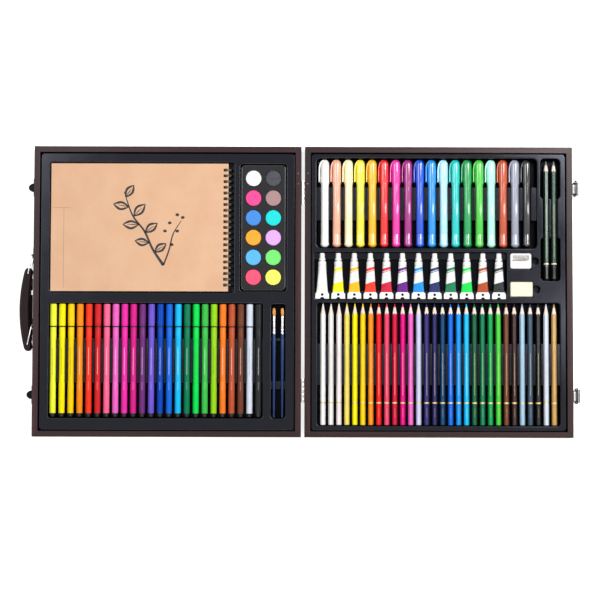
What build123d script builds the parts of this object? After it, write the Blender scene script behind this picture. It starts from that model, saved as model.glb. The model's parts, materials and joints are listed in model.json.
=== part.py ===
from build123d import *
import os
from math import cos, pi, radians, sin, tan

os.makedirs("parts", exist_ok=True)

# Case: two equal halves, hinged along one side, that lie open side by side
HALF_H = 28.0            # height of the boards of one half
BOARD_T = 8.5            # thickness of the boards
PANEL_T = 3.0            # thickness of the bottom panel
REBATE = 4.0             # wood left outside the rebate that holds the panel
PANEL_FIT = 0.1          # play of the panel in its rebate
EDGE = 0.8               # bevel of the boards' long outer edges
OPEN_GAP = 5.0           # between the two halves when the case lies open
RIM_GAP = 0.5            # between the two rims when it is closed

# Trays: one vacuum-formed sheet in each half
TRAY_T = 1.0             # sheet thickness
TRAY_GAP = 1.2           # between the tray's edge and the boards
TRAY_R = 5.5             # corner radius of the tray
TRAY_EDGE = 1.2          # bevel of the tray's edge
FLANGE_DROP = 3.5        # from the rim of the boards down to the tray's face
POCKET_R = 4.0           # corner radius of the pockets
CORNER_SIDES = 2         # flat sides of each rounded corner
DRAFT = 2.0              # draft of the pocket walls, in degrees
SEAT_GAP = 0.25          # between a piece and the saddle that it lies on
ITEM_DROP = 0.5          # from the tray's face down to the top of the pieces
POST_RISE = 1.5          # saddle posts above the axis of the pieces

# Margins of the pockets from the tray's edge and from each other
BOOK_MARGIN_X = 13.7
BOOK_MARGIN_Y = 13.7
BOOK_PALETTE_GAP = 9.4
PALETTE_MARGIN_X = 12.3
FELT_MARGIN_X = 13.6
FELT_MARGIN_Y = 17.9
FELT_BRUSH_GAP = 11.8
BRUSH_MARGIN_X = 13.5
BASE_ROW_GAP = 15.9
CRAYON_MARGIN_X = 7.7
CRAYON_MARGIN_Y = 6.8
CRAYON_WELL_GAP = 4.7
WELL_MARGIN_X = 7.8
TUBE_MARGIN_X = 4.7
TUBE_TOOL_GAP = 4.3
PENCIL_MARGIN_X = 8.4
PENCIL_MARGIN_Y = 7.5
CRAYON_TUBE_GAP = 5.8
TUBE_PENCIL_GAP = 4.5

# Sketchbook, bound along its right edge
BOOK_W = 260.0
BOOK_L = 188.0
COVER_T = 0.6
SHEETS_T = 7.0
BACK_T = 1.4
BOOK_SIDE_CLEAR = 1.5
BOOK_END_CLEAR = 1.7
LOOP_COUNT = 21
LOOP_PITCH = 8.47
LOOP_R = 6.2             # centre line of a loop
LOOP_STRIP_T = 0.9
LOOP_STRIP_W = 2.4       # the pair of wires of one loop
LOOP_SIDES = 6
LOOP_CLEAR = 1.85        # from the loops to the side of the pocket
HOLE_IN = 1.7            # near side of the punched holes, from the spine edge
HOLE_OUT = 7.2
HOLE_L = 4.4

# Watercolour palette
PALETTE_W = 65.8
PALETTE_L = 185.2
PALETTE_H = 8.0
PALETTE_R = 6.0
PALETTE_CLEAR = 0.8
PALETTE_RIM = 1.6        # width of the raised rim
PALETTE_RIM_H = 1.2
PAN_D = 23.6
PAN_DEPTH = 4.0
PAN_PITCH = 29.15
PAN_COLUMNS = 2
PAN_ROWS = 6
CAKE_T = 2.6
PAN_SIDES = 10
CAKE_GAP = 0.4

# Small turned pieces have flat sides, because they repeat many times
TURNED_SIDES = 6
TURNED_SPREAD = (1 + 1 / cos(pi / TURNED_SIDES)) / 2
WIRE_SIDES = 8

# Felt pens
FELT_COUNT = 24
FELT_PITCH = 13.07
FELT_CAP_D = 9.7
FELT_BARREL_D = 8.9
FELT_TIP_D = 6.4
FELT_CAP_L = 32.3
FELT_BARREL_L = 127.4
FELT_PLUG_L = 5.7
FELT_SIDE_CLEAR = 1.2
FELT_END_CLEAR = 1.15
FELT_BAND_FROM = 50.1    # saddle band, from the cap's end
FELT_BAND_L = 65.3

# Brushes
BRUSH_COUNT = 2
BRUSH_PITCH = 12.1
BRUSH_SIDE_CLEAR = 1.25
BRUSH_TOP_CLEAR = 5.2
BRUSH_END_CLEAR = 1.2
BRISTLE_L = 11.7
BRISTLE_W = 5.2
BRISTLE_T = 2.2
FERRULE_L = 26.4
FERRULE_R = 2.6
FERRULE_MOUTH_R = 2.2
HANDLE_WOOD_L = 122.0
HANDLE_NECK_R = 2.4
HANDLE_BELLY_R = 3.0
HANDLE_BELLY_AT = 14.0
HANDLE_END_R = 1.4
BRUSH_BANDS = ((44.0, 4.4), (107.0, 11.8))

# Twist crayons
CRAYON_COUNT = 18
CRAYON_PITCH = 17.48
CRAYON_D = 12.6
CRAYON_CAP_D = 13.2
CRAYON_CAP_L = 35.8
CRAYON_BARREL_L = 73.6
CRAYON_KNOB_L = 20.4
CRAYON_DOME_L = 4.2
CRAYON_DOME_D = 7.0
CRAYON_KNOB_END_D = 11.0
CLIP_REACH = 10.0        # from the crayon's axis to the outside of its clip
CLIP_T = 1.6
CLIP_W = 3.4
CLIP_L = 31.5
CRAYON_LEFT_CLEAR = 2.0
CRAYON_RIGHT_CLEAR = 7.8
CRAYON_END_CLEAR = 1.3
CRAYON_BAND_FROM = 40.7
CRAYON_BAND_L = 49.1

# Drawing pencils and their well, wide at both ends for the fingers
DRAWING_COUNT = 2
DRAWING_PITCH = 11.2
DRAWING_L = 174.0
DRAWING_CONE_L = 16.7
PENCIL_FLATS = 7.0       # across the flats
PENCIL_SIDES = 6
LEAD_R = 0.6
WELL_SIDE = 4.9          # finger room beside the pencils
WELL_END_CLEAR = 3.2
WELL_NARROW_SIDE = 1.2
WELL_NARROW_FROM = 56.0
WELL_NARROW_L = 63.3

# Paint tubes
TUBE_COUNT = 12
TUBE_PITCH = 23.55
TUBE_L = 66.9
TUBE_CAP_L = 11.7
TUBE_CAP_D = 7.9
TUBE_COLLAR_D = 9.6
TUBE_COLLAR_L = 3.4
TUBE_SHOULDER_L = 2.4
TUBE_D = 11.2
TUBE_FLAT_W = 17.6
TUBE_CRIMP_W = 20.2
TUBE_CRIMP_L = 9.7
TUBE_CRIMP_T = 1.2
TUBE_SIDE_CLEAR = 1.2
TUBE_END_CLEAR = 1.6
TUBE_LEDGE_CAP = 8.4     # how far the cap's ledge reaches under the tube
TUBE_LEDGE_CRIMP = 11.4
TUBE_POCKET_DEPTH = 15.0

# Sharpener and eraser
SHARPENER_W = 30.8
SHARPENER_L = 22.4
SHARPENER_H = 12.0
SHARPENER_R = 3.0
SHARPENER_TOP_CLEAR = 1.5
CONE_BIG_D = 8.4
CONE_SMALL_D = 1.2
BLADE_W = 22.0
BLADE_L = 7.4
BLADE_T = 0.6
BLADE_SINK = 1.6
BLADE_PLAY = 0.5
BLADE_SCREW_R = 1.2
BLADE_SCREW_HEAD_R = 2.1
BLADE_SCREW_L = 3.0
ERASER_W = 32.7
ERASER_L = 21.5
ERASER_H = 11.0
ERASER_R = 1.2
ERASER_FROM_BOTTOM = 5.2
TOOL_CLEAR = 1.0
TOOL_POCKET_R = 3.0
NOTCH_R = 5.4            # finger notch beside each of them
NOTCH_OUT = 4.5

# Coloured pencils
PENCIL_COUNT = 30
PENCIL_PITCH = 11.66
PENCIL_L = 177.4
PENCIL_CONE_L = 15.1
PENCIL_SIDE_CLEAR = 4.2
PENCIL_END_CLEAR = 1.05
PENCIL_BAND_FROM = 58.5
PENCIL_BAND_L = 60.8

# Hinges
HINGE_INSET = 68.0       # from the end of the case to the middle of a hinge
HINGE_L = 34.5
LEAF_T = 1.0
LEAF_H = 16.0
KNUCKLES = 5
KNUCKLE_SIDES = 8
KNUCKLE_GAP = 0.15
KNUCKLE_CLEAR = 0.3
HINGE_PIN_R = 1.0
PIN_FIT = 0.05

# Handle: a grip on two parallel wire links
BRACKET_SPACING = 104.0  # between the handle's two brackets
LINK_L = 27.4
LINK_FOLD = 12.0         # angle of a folded link from the board, in degrees
LINK_WIRE = 2.2
LINK_PLAY = 0.5          # between a link's legs and the grip
LINK_BEND = 0.9
BRACKET_PIVOT_OUT = 2.5
BRACKET_L = 25.0
BRACKET_H = 16.0
BRACKET_R = 3.0
BRACKET_T = 1.2
BRIDGE_W = 13.0
BRIDGE_WALL = 1.0
GRIP_REACH = 20.3        # outside of the grip from the board, when folded
GRIP_END_R = 5.5
GRIP_H = 15.0
GRIP_HOLLOW = 3.9        # how far the grip's inner side curves away from the board
GRIP_EDGE = 2.0

# Latches on the lid and their catches on the base
LATCH_INSET = 61.0       # from the end of the case to the middle of a latch
PLATE_T = 1.2
PLATE_W = 16.0
PLATE_ABOVE = 3.0
PLATE_BELOW = 11.0
LATCH_PIVOT_OUT = 5.0
LATCH_PIVOT_DROP = 8.0   # from the lid's rim to the lever's pivot
EAR_T = 1.4
EAR_R = 3.0
EAR_SIDES = 10
LATCH_PIN_R = 1.0
LEVER_W = 19.0
LEVER_T = 1.2
LEVER_FACE_OUT = 10.6
LEVER_FOOT = 2.4         # height of the lever's lower end
LEVER_HEEL = 1.5
LEVER_LIP = 1.4
LEVER_HEEL_CLEAR = 0.6
EAR_PLAY = 0.3
LOOP_PIVOT_DROP = 5.9    # from the lever's pivot to the loop's pivot
LOOP_PIVOT_IN = 0.6
LOOP_WIRE = 1.8
LOOP_BEND = 2.0
HOOK_DROP = 8.4          # from the base's rim to the loop's bar when latched
HOOK_T = 1.2
HOOK_W = 13.0
HOOK_PLAY = 0.15         # over the bar
HOOK_ROOM = 0.8          # in front of the bar
HOOK_REACH = 9.0
HOOK_LIP = 2.2           # how far the lip reaches past the bar
CATCH_W = 27.0
CATCH_H = 16.0
CATCH_TOP = 4.0          # from the base's rim to the top of the catch plate

# Heights that the pieces share
flange_z = HALF_H - FLANGE_DROP
floor_z = PANEL_T + TRAY_T
item_top = flange_z - ITEM_DROP
axis_height = HALF_H + RIM_GAP / 2

# Pockets of the base tray: widths and lengths
book_t = COVER_T + SHEETS_T + BACK_T
loop_reach = LOOP_R + LOOP_STRIP_T / 2
book_pocket_w = BOOK_SIDE_CLEAR + BOOK_W + loop_reach + LOOP_CLEAR
book_pocket_l = BOOK_L + 2 * BOOK_END_CLEAR
palette_pocket_w = PALETTE_W + 2 * PALETTE_CLEAR
palette_pocket_l = PALETTE_L + 2 * PALETTE_CLEAR
felt_l = FELT_CAP_L + FELT_BARREL_L + FELT_PLUG_L
felt_pocket_w = (FELT_COUNT - 1) * FELT_PITCH + FELT_CAP_D + 2 * FELT_SIDE_CLEAR
felt_pocket_l = felt_l + 2 * FELT_END_CLEAR
brush_l = BRISTLE_L + FERRULE_L + HANDLE_WOOD_L
brush_pocket_w = (BRUSH_COUNT - 1) * BRUSH_PITCH + 2 * HANDLE_BELLY_R + 2 * BRUSH_SIDE_CLEAR
brush_pocket_l = BRUSH_TOP_CLEAR + brush_l + BRUSH_END_CLEAR

# Pockets of the lid tray
pencil_corners = PENCIL_FLATS / cos(pi / PENCIL_SIDES)
crayon_l = CRAYON_CAP_L + CRAYON_BARREL_L + CRAYON_KNOB_L
crayon_pocket_w = (CRAYON_LEFT_CLEAR + CLIP_REACH + (CRAYON_COUNT - 1) * CRAYON_PITCH
                   + CRAYON_CAP_D / 2 + CRAYON_RIGHT_CLEAR)
crayon_pocket_l = crayon_l + 2 * CRAYON_END_CLEAR
well_w = (DRAWING_COUNT - 1) * DRAWING_PITCH + pencil_corners + 2 * WELL_SIDE
well_l = DRAWING_L + 2 * WELL_END_CLEAR
tube_pocket_w = (TUBE_COUNT - 1) * TUBE_PITCH + TUBE_CRIMP_W + 2 * TUBE_SIDE_CLEAR
tube_pocket_l = TUBE_L + 2 * TUBE_END_CLEAR
pencil_pocket_w = (PENCIL_COUNT - 1) * PENCIL_PITCH + pencil_corners + 2 * PENCIL_SIDE_CLEAR
pencil_pocket_l = PENCIL_L + 2 * PENCIL_END_CLEAR

# Both trays are as large as the fullest row or column of pockets needs
tray_w = max(
    BOOK_MARGIN_X + book_pocket_w + BOOK_PALETTE_GAP + palette_pocket_w + PALETTE_MARGIN_X,
    FELT_MARGIN_X + felt_pocket_w + FELT_BRUSH_GAP + brush_pocket_w + BRUSH_MARGIN_X,
    CRAYON_MARGIN_X + crayon_pocket_w + CRAYON_WELL_GAP + well_w + WELL_MARGIN_X,
    PENCIL_MARGIN_X + pencil_pocket_w + PENCIL_MARGIN_X,
)
tray_l = max(
    BOOK_MARGIN_Y + max(book_pocket_l, palette_pocket_l) + BASE_ROW_GAP
    + max(felt_pocket_l, brush_pocket_l) + FELT_MARGIN_Y,
    CRAYON_MARGIN_Y + crayon_pocket_l + CRAYON_TUBE_GAP + tube_pocket_l + TUBE_PENCIL_GAP
    + pencil_pocket_l + PENCIL_MARGIN_Y,
)
case_w = tray_w + 2 * (TRAY_GAP + BOARD_T)
case_l = tray_l + 2 * (TRAY_GAP + BOARD_T)
lid_x = case_w + OPEN_GAP
hinge_x = (case_w + OPEN_GAP) / 2
hinge_y = case_l / 2 - HINGE_INSET
latch_y = case_l / 2 - LATCH_INSET


def block(x0, x1, y0, y1, z0, z1):
    """A plain block between two corners."""
    return Pos((x0 + x1) / 2, (y0 + y1) / 2, (z0 + z1) / 2) * Box(x1 - x0, y1 - y0, z1 - z0)


def ring(rect, radius, z, inset=0.0):
    """Corners of a rounded rectangle at one height, flat sided where it turns."""
    x0, x1, y0, y1 = rect
    centres = ((x1 - radius, y1 - radius), (x0 + radius, y1 - radius),
               (x0 + radius, y0 + radius), (x1 - radius, y0 + radius))
    corners = []
    for quarter, (x, y) in enumerate(centres):
        for i in range(CORNER_SIDES + 1):
            a = pi / 2 * (quarter + i / CORNER_SIDES)
            corners.append(Vector(x + (radius - inset) * cos(a), y + (radius - inset) * sin(a), z))
    return corners


def skin(rings, closed=False, twisted=False):
    """A solid of flat faces that join rings of corners; twisted forms get triangles."""
    count = len(rings[0])
    pairs = list(zip(rings, rings[1:]))
    if closed:
        pairs.append((rings[-1], rings[0]))
    outlines = []
    for near, far in pairs:
        for i in range(count):
            j = (i + 1) % count
            if twisted:
                outlines += [[near[i], near[j], far[j]], [near[i], far[j], far[i]]]
            else:
                outlines.append([near[i], near[j], far[j], far[i]])
    if not closed:
        outlines += [rings[0][::-1], rings[-1]]
    return Solid(Shell([Face(Wire.make_polygon(outline)) for outline in outlines]))


def turned(stations, sides=TURNED_SIDES, spread=TURNED_SPREAD):
    """A turned form along -Y from the origin, a flat side up; each station is a distance and a radius."""
    return flattened([(along, radius, radius) for along, radius in stations], sides, spread, twisted=False)


def flattened(stations, sides=TURNED_SIDES, spread=TURNED_SPREAD, twisted=True):
    """A form along -Y whose section goes from round to flat: distance, half width, half height."""
    corners = [pi / 2 + pi * (2 * i + 1) / sides for i in range(sides)]
    rings = [[Vector(half_w * spread * cos(a), -along, half_h * spread * sin(a)) for a in corners]
             for along, half_w, half_h in stations]
    return skin(rings, twisted=twisted)


def bent(path, across, section, closed=False):
    """Wire or strip bent along straight runs in one plane, mitred where it turns."""
    count = len(path)
    steps = [(path[(i + 1) % count] - path[i]).normalized() for i in range(count)]
    rings = []
    for i, corner in enumerate(path):
        ahead = steps[i] if closed or i < count - 1 else steps[i - 1]
        behind = steps[i - 1] if closed or i > 0 else steps[i]
        side = (across.cross(ahead) + across.cross(behind)).normalized()
        stretch = 1 / side.dot(across.cross(ahead))
        rings.append([corner + side * (u * stretch) + across * v for u, v in section])
    return skin(rings, closed)


def round_wire(diameter, sides):
    """Section of a wire, flat sided."""
    spread = diameter / 2 / cos(pi / sides)
    return [(spread * cos(pi * (2 * i + 1) / sides), spread * sin(pi * (2 * i + 1) / sides))
            for i in range(sides)]


def spaced(count, pitch):
    """Places of equal pieces about a middle."""
    return [(i - (count - 1) / 2) * pitch for i in range(count)]


def upright(outline, y0, y1):
    """A profile in X and Z, carried along Y."""
    return extrude(Plane.XZ.offset(-y1) * outline, y1 - y0)


def eyelet(radius):
    """A bore for a wire or pin of that radius, flat sided and just clear of it."""
    return RegularPolygon((radius + PIN_FIT) / cos(pi / WIRE_SIDES), WIRE_SIDES)


def pin(radius, length):
    """A plain round pin along Y, about its middle."""
    return Rot(90, 0, 0) * Cylinder(radius, length)


def write(name, solids, shift=0.0):
    """Save one node, moved across to the lid half where it belongs there."""
    placed = [Pos(shift, 0, 0) * solid for solid in solids]
    shape = placed[0] if len(placed) == 1 else Compound(children=placed)
    export_step(shape, f"parts/{name}.step")


# Boards and panels
def board(run):
    """A board along X with its outer face at Y = 0, mitred at both ends."""
    corners = [(0, 0), (REBATE, 0), (REBATE, PANEL_T), (BOARD_T, PANEL_T), (BOARD_T, HALF_H), (0, HALF_H)]
    profile = make_face(Polyline(*corners, close=True))
    profile = chamfer(profile.vertices().filter_by(lambda v: v.X < EDGE), EDGE)
    blank = extrude(Plane.YZ.offset(-run / 2) * profile, run)
    mitre = make_face(Polyline((-run / 2, 0), (run / 2, 0), (run / 2 - BOARD_T, BOARD_T),
                               (-run / 2 + BOARD_T, BOARD_T), close=True))
    return (blank & extrude(mitre, HALF_H)).solid()


def half_boards():
    """The four boards and the panel of one half, about its own centre."""
    panel_w = case_w - 2 * (REBATE + PANEL_FIT)
    panel_l = case_l - 2 * (REBATE + PANEL_FIT)
    return {
        "front_board": Pos(0, -case_l / 2, 0) * board(case_w),
        "back_board": Pos(0, case_l / 2, 0) * Rot(0, 0, 180) * board(case_w),
        "left_board": Pos(-case_w / 2, 0, 0) * Rot(0, 0, -90) * board(case_l),
        "right_board": Pos(case_w / 2, 0, 0) * Rot(0, 0, 90) * board(case_l),
        "panel": block(-panel_w / 2, panel_w / 2, -panel_l / 2, panel_l / 2, 0, PANEL_T),
    }


# Trays
def pocket(rect, floor, radius=POCKET_R, grow=0.0):
    """The room of one pocket, drafted from the tray's face down to its floor."""
    drafted = (flange_z - floor + grow) * tan(radians(DRAFT))
    return skin([ring(rect, radius, flange_z, -grow), ring(rect, radius, floor - grow, drafted - grow)])


def notch(x, y, floor, grow=0.0):
    """A round finger notch."""
    depth = flange_z - floor + grow
    top = NOTCH_R + grow
    flue = turned([(0, top), (depth, top - depth * tan(radians(DRAFT)))], WIRE_SIDES)
    return Pos(x, y, flange_z) * Rot(90, 0, 0) * flue


def saddle_band(rect, y0, y1, axes, axis_z, radius, spread=TURNED_SPREAD):
    """A raised seat across a pocket, with posts between the pieces, hollow underneath."""
    half_width = radius * spread + SEAT_GAP
    seat = axis_z - radius * spread * cos(pi / TURNED_SIDES) - SEAT_GAP
    top = axis_z + POST_RISE
    x0 = rect[0] - TRAY_T / 2
    x1 = rect[1] + TRAY_T / 2
    outline = [(x0, floor_z - TRAY_T), (x0, top)]
    for axis in axes:
        left, right = axis - half_width, axis + half_width
        outline += [(left, top), (left, seat), (right, seat), (right, top)]
    outline += [(x1, top), (x1, floor_z - TRAY_T)]
    face = make_face(Polyline(*outline, close=True))
    band = upright(face, y0, y1)
    hollow = block(x0 + 2 * TRAY_T, x1 - 2 * TRAY_T, y0 + TRAY_T, y1 - TRAY_T,
                   floor_z - 2 * TRAY_T, seat - TRAY_T)
    return band, hollow


def tray(pockets, notches, bands, ribs):
    """A vacuum-formed tray: flange with a bevelled edge and skirt, drafted pockets, saddle bands."""
    rect = (-tray_w / 2, tray_w / 2, -tray_l / 2, tray_l / 2)
    outside, inside = [
        skin([ring(rect, TRAY_R, PANEL_T, inner), ring(rect, TRAY_R, flange_z - inner - TRAY_EDGE, inner),
              ring(rect, TRAY_R, flange_z - inner, inner + TRAY_EDGE)])
        for inner in (0, TRAY_T)
    ]
    walls = [pocket(*place, grow=TRAY_T) for place in pockets]
    walls += [notch(*place, grow=TRAY_T) for place in notches]
    rooms = [pocket(*place) for place in pockets]
    rooms += [notch(*place) for place in notches]
    sheet = outside - inside + walls - rooms
    sheet = sheet + [band for band, hollow in bands] + ribs - [hollow for band, hollow in bands]
    return sheet.solid()


# Layout of the base tray, from its upper left corner
book_rect = (-tray_w / 2 + BOOK_MARGIN_X, -tray_w / 2 + BOOK_MARGIN_X + book_pocket_w,
             tray_l / 2 - BOOK_MARGIN_Y - book_pocket_l, tray_l / 2 - BOOK_MARGIN_Y)
book_x = book_rect[0] + BOOK_SIDE_CLEAR + BOOK_W / 2
book_y = (book_rect[2] + book_rect[3]) / 2
spine_x = book_x + BOOK_W / 2
spine_z = item_top - book_t / 2
palette_rect = (tray_w / 2 - PALETTE_MARGIN_X - palette_pocket_w, tray_w / 2 - PALETTE_MARGIN_X,
                book_y - palette_pocket_l / 2, book_y + palette_pocket_l / 2)
palette_x = (palette_rect[0] + palette_rect[1]) / 2
felt_rect = (-tray_w / 2 + FELT_MARGIN_X, -tray_w / 2 + FELT_MARGIN_X + felt_pocket_w,
             -tray_l / 2 + FELT_MARGIN_Y, -tray_l / 2 + FELT_MARGIN_Y + felt_pocket_l)
felt_axes = [(felt_rect[0] + felt_rect[1]) / 2 + x for x in spaced(FELT_COUNT, FELT_PITCH)]
felt_y = felt_rect[3] - FELT_END_CLEAR
felt_z = item_top - FELT_CAP_D / 2
brush_rect = (tray_w / 2 - BRUSH_MARGIN_X - brush_pocket_w, tray_w / 2 - BRUSH_MARGIN_X,
              felt_rect[2], felt_rect[2] + brush_pocket_l)
brush_axes = [(brush_rect[0] + brush_rect[1]) / 2 + x for x in spaced(BRUSH_COUNT, BRUSH_PITCH)]
brush_y = brush_rect[3] - BRUSH_TOP_CLEAR
brush_z = item_top - HANDLE_BELLY_R

# Layout of the lid tray, from its upper left corner
crayon_rect = (-tray_w / 2 + CRAYON_MARGIN_X, -tray_w / 2 + CRAYON_MARGIN_X + crayon_pocket_w,
               tray_l / 2 - CRAYON_MARGIN_Y - crayon_pocket_l, tray_l / 2 - CRAYON_MARGIN_Y)
crayon_axes = [crayon_rect[0] + CRAYON_LEFT_CLEAR + CLIP_REACH + i * CRAYON_PITCH
               for i in range(CRAYON_COUNT)]
crayon_y = crayon_rect[3] - CRAYON_END_CLEAR
crayon_z = item_top - CRAYON_CAP_D / 2
well_rect = (tray_w / 2 - WELL_MARGIN_X - well_w, tray_w / 2 - WELL_MARGIN_X,
             crayon_rect[3] - well_l, crayon_rect[3])
drawing_axes = [(well_rect[0] + well_rect[1]) / 2 + x for x in spaced(DRAWING_COUNT, DRAWING_PITCH)]
drawing_y = well_rect[3] - WELL_END_CLEAR
narrow_y1 = well_rect[3] - WELL_NARROW_FROM
narrow_y0 = narrow_y1 - WELL_NARROW_L
narrow_w = (DRAWING_COUNT - 1) * DRAWING_PITCH + pencil_corners + 2 * WELL_NARROW_SIDE
narrow_x = (well_rect[0] + well_rect[1]) / 2
pencil_z = item_top - PENCIL_FLATS / 2
tube_y = crayon_rect[2] - CRAYON_TUBE_GAP - TUBE_END_CLEAR
tube_x0 = -tray_w / 2 + TUBE_MARGIN_X
tube_x1 = tube_x0 + tube_pocket_w
tube_axes = [(tube_x0 + tube_x1) / 2 + x for x in spaced(TUBE_COUNT, TUBE_PITCH)]
tube_top_z = HALF_H - RIM_GAP - 1.0
tube_z = tube_top_z - TUBE_D / 2
tube_rects = [
    ((tube_x0, tube_x1, tube_y - TUBE_LEDGE_CAP - POCKET_R, tube_y + TUBE_END_CLEAR),
     tube_z - TUBE_COLLAR_D / 2 - SEAT_GAP),
    ((tube_x0, tube_x1, tube_y - TUBE_L + TUBE_LEDGE_CRIMP, tube_y - TUBE_LEDGE_CAP),
     flange_z - TUBE_POCKET_DEPTH),
    ((tube_x0, tube_x1, tube_y - TUBE_L - TUBE_END_CLEAR, tube_y - TUBE_L + TUBE_LEDGE_CRIMP + POCKET_R),
     tube_z - TUBE_CRIMP_T / 2 - SEAT_GAP),
]
tool_x0 = tube_x1 + TUBE_TOOL_GAP
sharpener_x = tool_x0 + TOOL_CLEAR + SHARPENER_W / 2
sharpener_y = tube_y + TUBE_END_CLEAR - SHARPENER_TOP_CLEAR - SHARPENER_L / 2
sharpener_rect = (tool_x0, tool_x0 + SHARPENER_W + 2 * TOOL_CLEAR,
                  sharpener_y - SHARPENER_L / 2 - TOOL_CLEAR, sharpener_y + SHARPENER_L / 2 + TOOL_CLEAR)
sharpener_floor = item_top - SHARPENER_H - SEAT_GAP
eraser_x = tool_x0 + TOOL_CLEAR + ERASER_W / 2
eraser_y = tube_y - TUBE_L - TUBE_END_CLEAR + ERASER_FROM_BOTTOM + ERASER_L / 2
eraser_rect = (tool_x0, tool_x0 + ERASER_W + 2 * TOOL_CLEAR,
               eraser_y - ERASER_L / 2 - TOOL_CLEAR, eraser_y + ERASER_L / 2 + TOOL_CLEAR)
eraser_floor = item_top - ERASER_H - SEAT_GAP
pencil_rect = (-pencil_pocket_w / 2, pencil_pocket_w / 2,
               -tray_l / 2 + PENCIL_MARGIN_Y, -tray_l / 2 + PENCIL_MARGIN_Y + pencil_pocket_l)
pencil_axes = spaced(PENCIL_COUNT, PENCIL_PITCH)
pencil_y = pencil_rect[3] - PENCIL_END_CLEAR


def brush_radius(along):
    """Radius of a brush handle, at a distance from the ferrule."""
    if along < HANDLE_BELLY_AT:
        return HANDLE_NECK_R + (HANDLE_BELLY_R - HANDLE_NECK_R) * along / HANDLE_BELLY_AT
    fall = (along - HANDLE_BELLY_AT) / (HANDLE_WOOD_L - HANDLE_BELLY_AT)
    return HANDLE_BELLY_R + (HANDLE_END_R - HANDLE_BELLY_R) * fall


def base_tray():
    """Tray for the sketchbook, the palette, the felt pens and the brushes."""
    book_floor = item_top - book_t - SEAT_GAP
    gutter = (spine_x - HOLE_OUT - BOOK_SIDE_CLEAR, book_rect[1], book_rect[2], book_rect[3])
    pockets = [
        (book_rect, book_floor),
        (gutter, spine_z - loop_reach - SEAT_GAP),
        (palette_rect, item_top - PALETTE_H - SEAT_GAP),
        (felt_rect, floor_z),
        (brush_rect, floor_z),
    ]
    felt_band_y = felt_y - FELT_BAND_FROM
    bands = [saddle_band(felt_rect, felt_band_y - FELT_BAND_L, felt_band_y, felt_axes, felt_z,
                         FELT_BARREL_D / 2)]
    for start, length in BRUSH_BANDS:
        radius = max(brush_radius(start - BRISTLE_L - FERRULE_L),
                     brush_radius(start + length - BRISTLE_L - FERRULE_L))
        bands.append(saddle_band(brush_rect, brush_y - start - length, brush_y - start, brush_axes, brush_z,
                                 radius))
    return tray(pockets, [], bands, [])


def lid_tray():
    """Tray for the crayons, the tubes, the sharpener, the eraser and the pencils."""
    narrow = (narrow_x - narrow_w / 2, narrow_x + narrow_w / 2,
              narrow_y0 - POCKET_R, narrow_y1 + POCKET_R)
    pencil_seat = pencil_z - PENCIL_FLATS / 2 - SEAT_GAP
    pockets = [
        (crayon_rect, floor_z),
        ((well_rect[0], well_rect[1], narrow_y1, well_rect[3]), floor_z),
        ((well_rect[0], well_rect[1], well_rect[2], narrow_y0), floor_z),
        (narrow, pencil_seat),
        (sharpener_rect, sharpener_floor, TOOL_POCKET_R),
        (eraser_rect, eraser_floor, TOOL_POCKET_R),
        (pencil_rect, floor_z),
    ] + tube_rects
    notches = [(sharpener_rect[1] + NOTCH_OUT, sharpener_y, sharpener_floor),
               (eraser_rect[1] + NOTCH_OUT, eraser_y, eraser_floor)]
    crayon_band_y = crayon_y - CRAYON_BAND_FROM
    pencil_band_y = pencil_y - PENCIL_BAND_FROM
    bands = [
        saddle_band(crayon_rect, crayon_band_y - CRAYON_BAND_L, crayon_band_y, crayon_axes, crayon_z,
                    CRAYON_D / 2),
        saddle_band(pencil_rect, pencil_band_y - PENCIL_BAND_L, pencil_band_y, pencil_axes, pencil_z,
                    pencil_corners / 2, spread=1),
    ]
    return tray(pockets, notches, bands, [well_rib()])


def well_rib():
    """Rib between the drawing pencils, on the raised floor of their well."""
    half = DRAWING_PITCH / 2 - pencil_corners / 2 - SEAT_GAP
    seat = pencil_z - PENCIL_FLATS / 2 - SEAT_GAP
    return block(narrow_x - half, narrow_x + half, narrow_y0, narrow_y1, seat - TRAY_T / 2,
                 pencil_z + POST_RISE)


# Contents
def row_of(solids, axes, y, z):
    """Copies of a piece's solids at each axis, one list for each of them."""
    return [[Pos(x, y, z) * solid for x in axes] for solid in solids]


def felt_pens():
    cap = turned([(0, FELT_TIP_D / 2), ((FELT_CAP_D - FELT_TIP_D) / 2, FELT_CAP_D / 2),
                  (FELT_CAP_L, FELT_CAP_D / 2)])
    barrel_end = FELT_CAP_L + FELT_BARREL_L
    barrel = turned([(FELT_CAP_L, FELT_BARREL_D / 2), (barrel_end, FELT_BARREL_D / 2)])
    plug = turned([(barrel_end, FELT_BARREL_D / 2), (felt_l, FELT_TIP_D / 2)])
    return row_of([barrel, cap, plug], felt_axes, felt_y, felt_z)


def brushes():
    belly = BRISTLE_L + FERRULE_L + HANDLE_BELLY_AT
    handle_from = BRISTLE_L + FERRULE_L
    handle = turned([(handle_from, HANDLE_NECK_R), (belly, HANDLE_BELLY_R), (brush_l, HANDLE_END_R)])
    ferrule = turned([(BRISTLE_L, FERRULE_MOUTH_R), (handle_from, FERRULE_R)])
    tuft = flattened([(0, BRISTLE_W / 2, LEAD_R / 2), (BRISTLE_L / 3, BRISTLE_W / 2, BRISTLE_T / 2),
                      (BRISTLE_L, FERRULE_MOUTH_R, FERRULE_MOUTH_R / 2)])
    return row_of([handle, ferrule, tuft], brush_axes, brush_y, brush_z)


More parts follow.
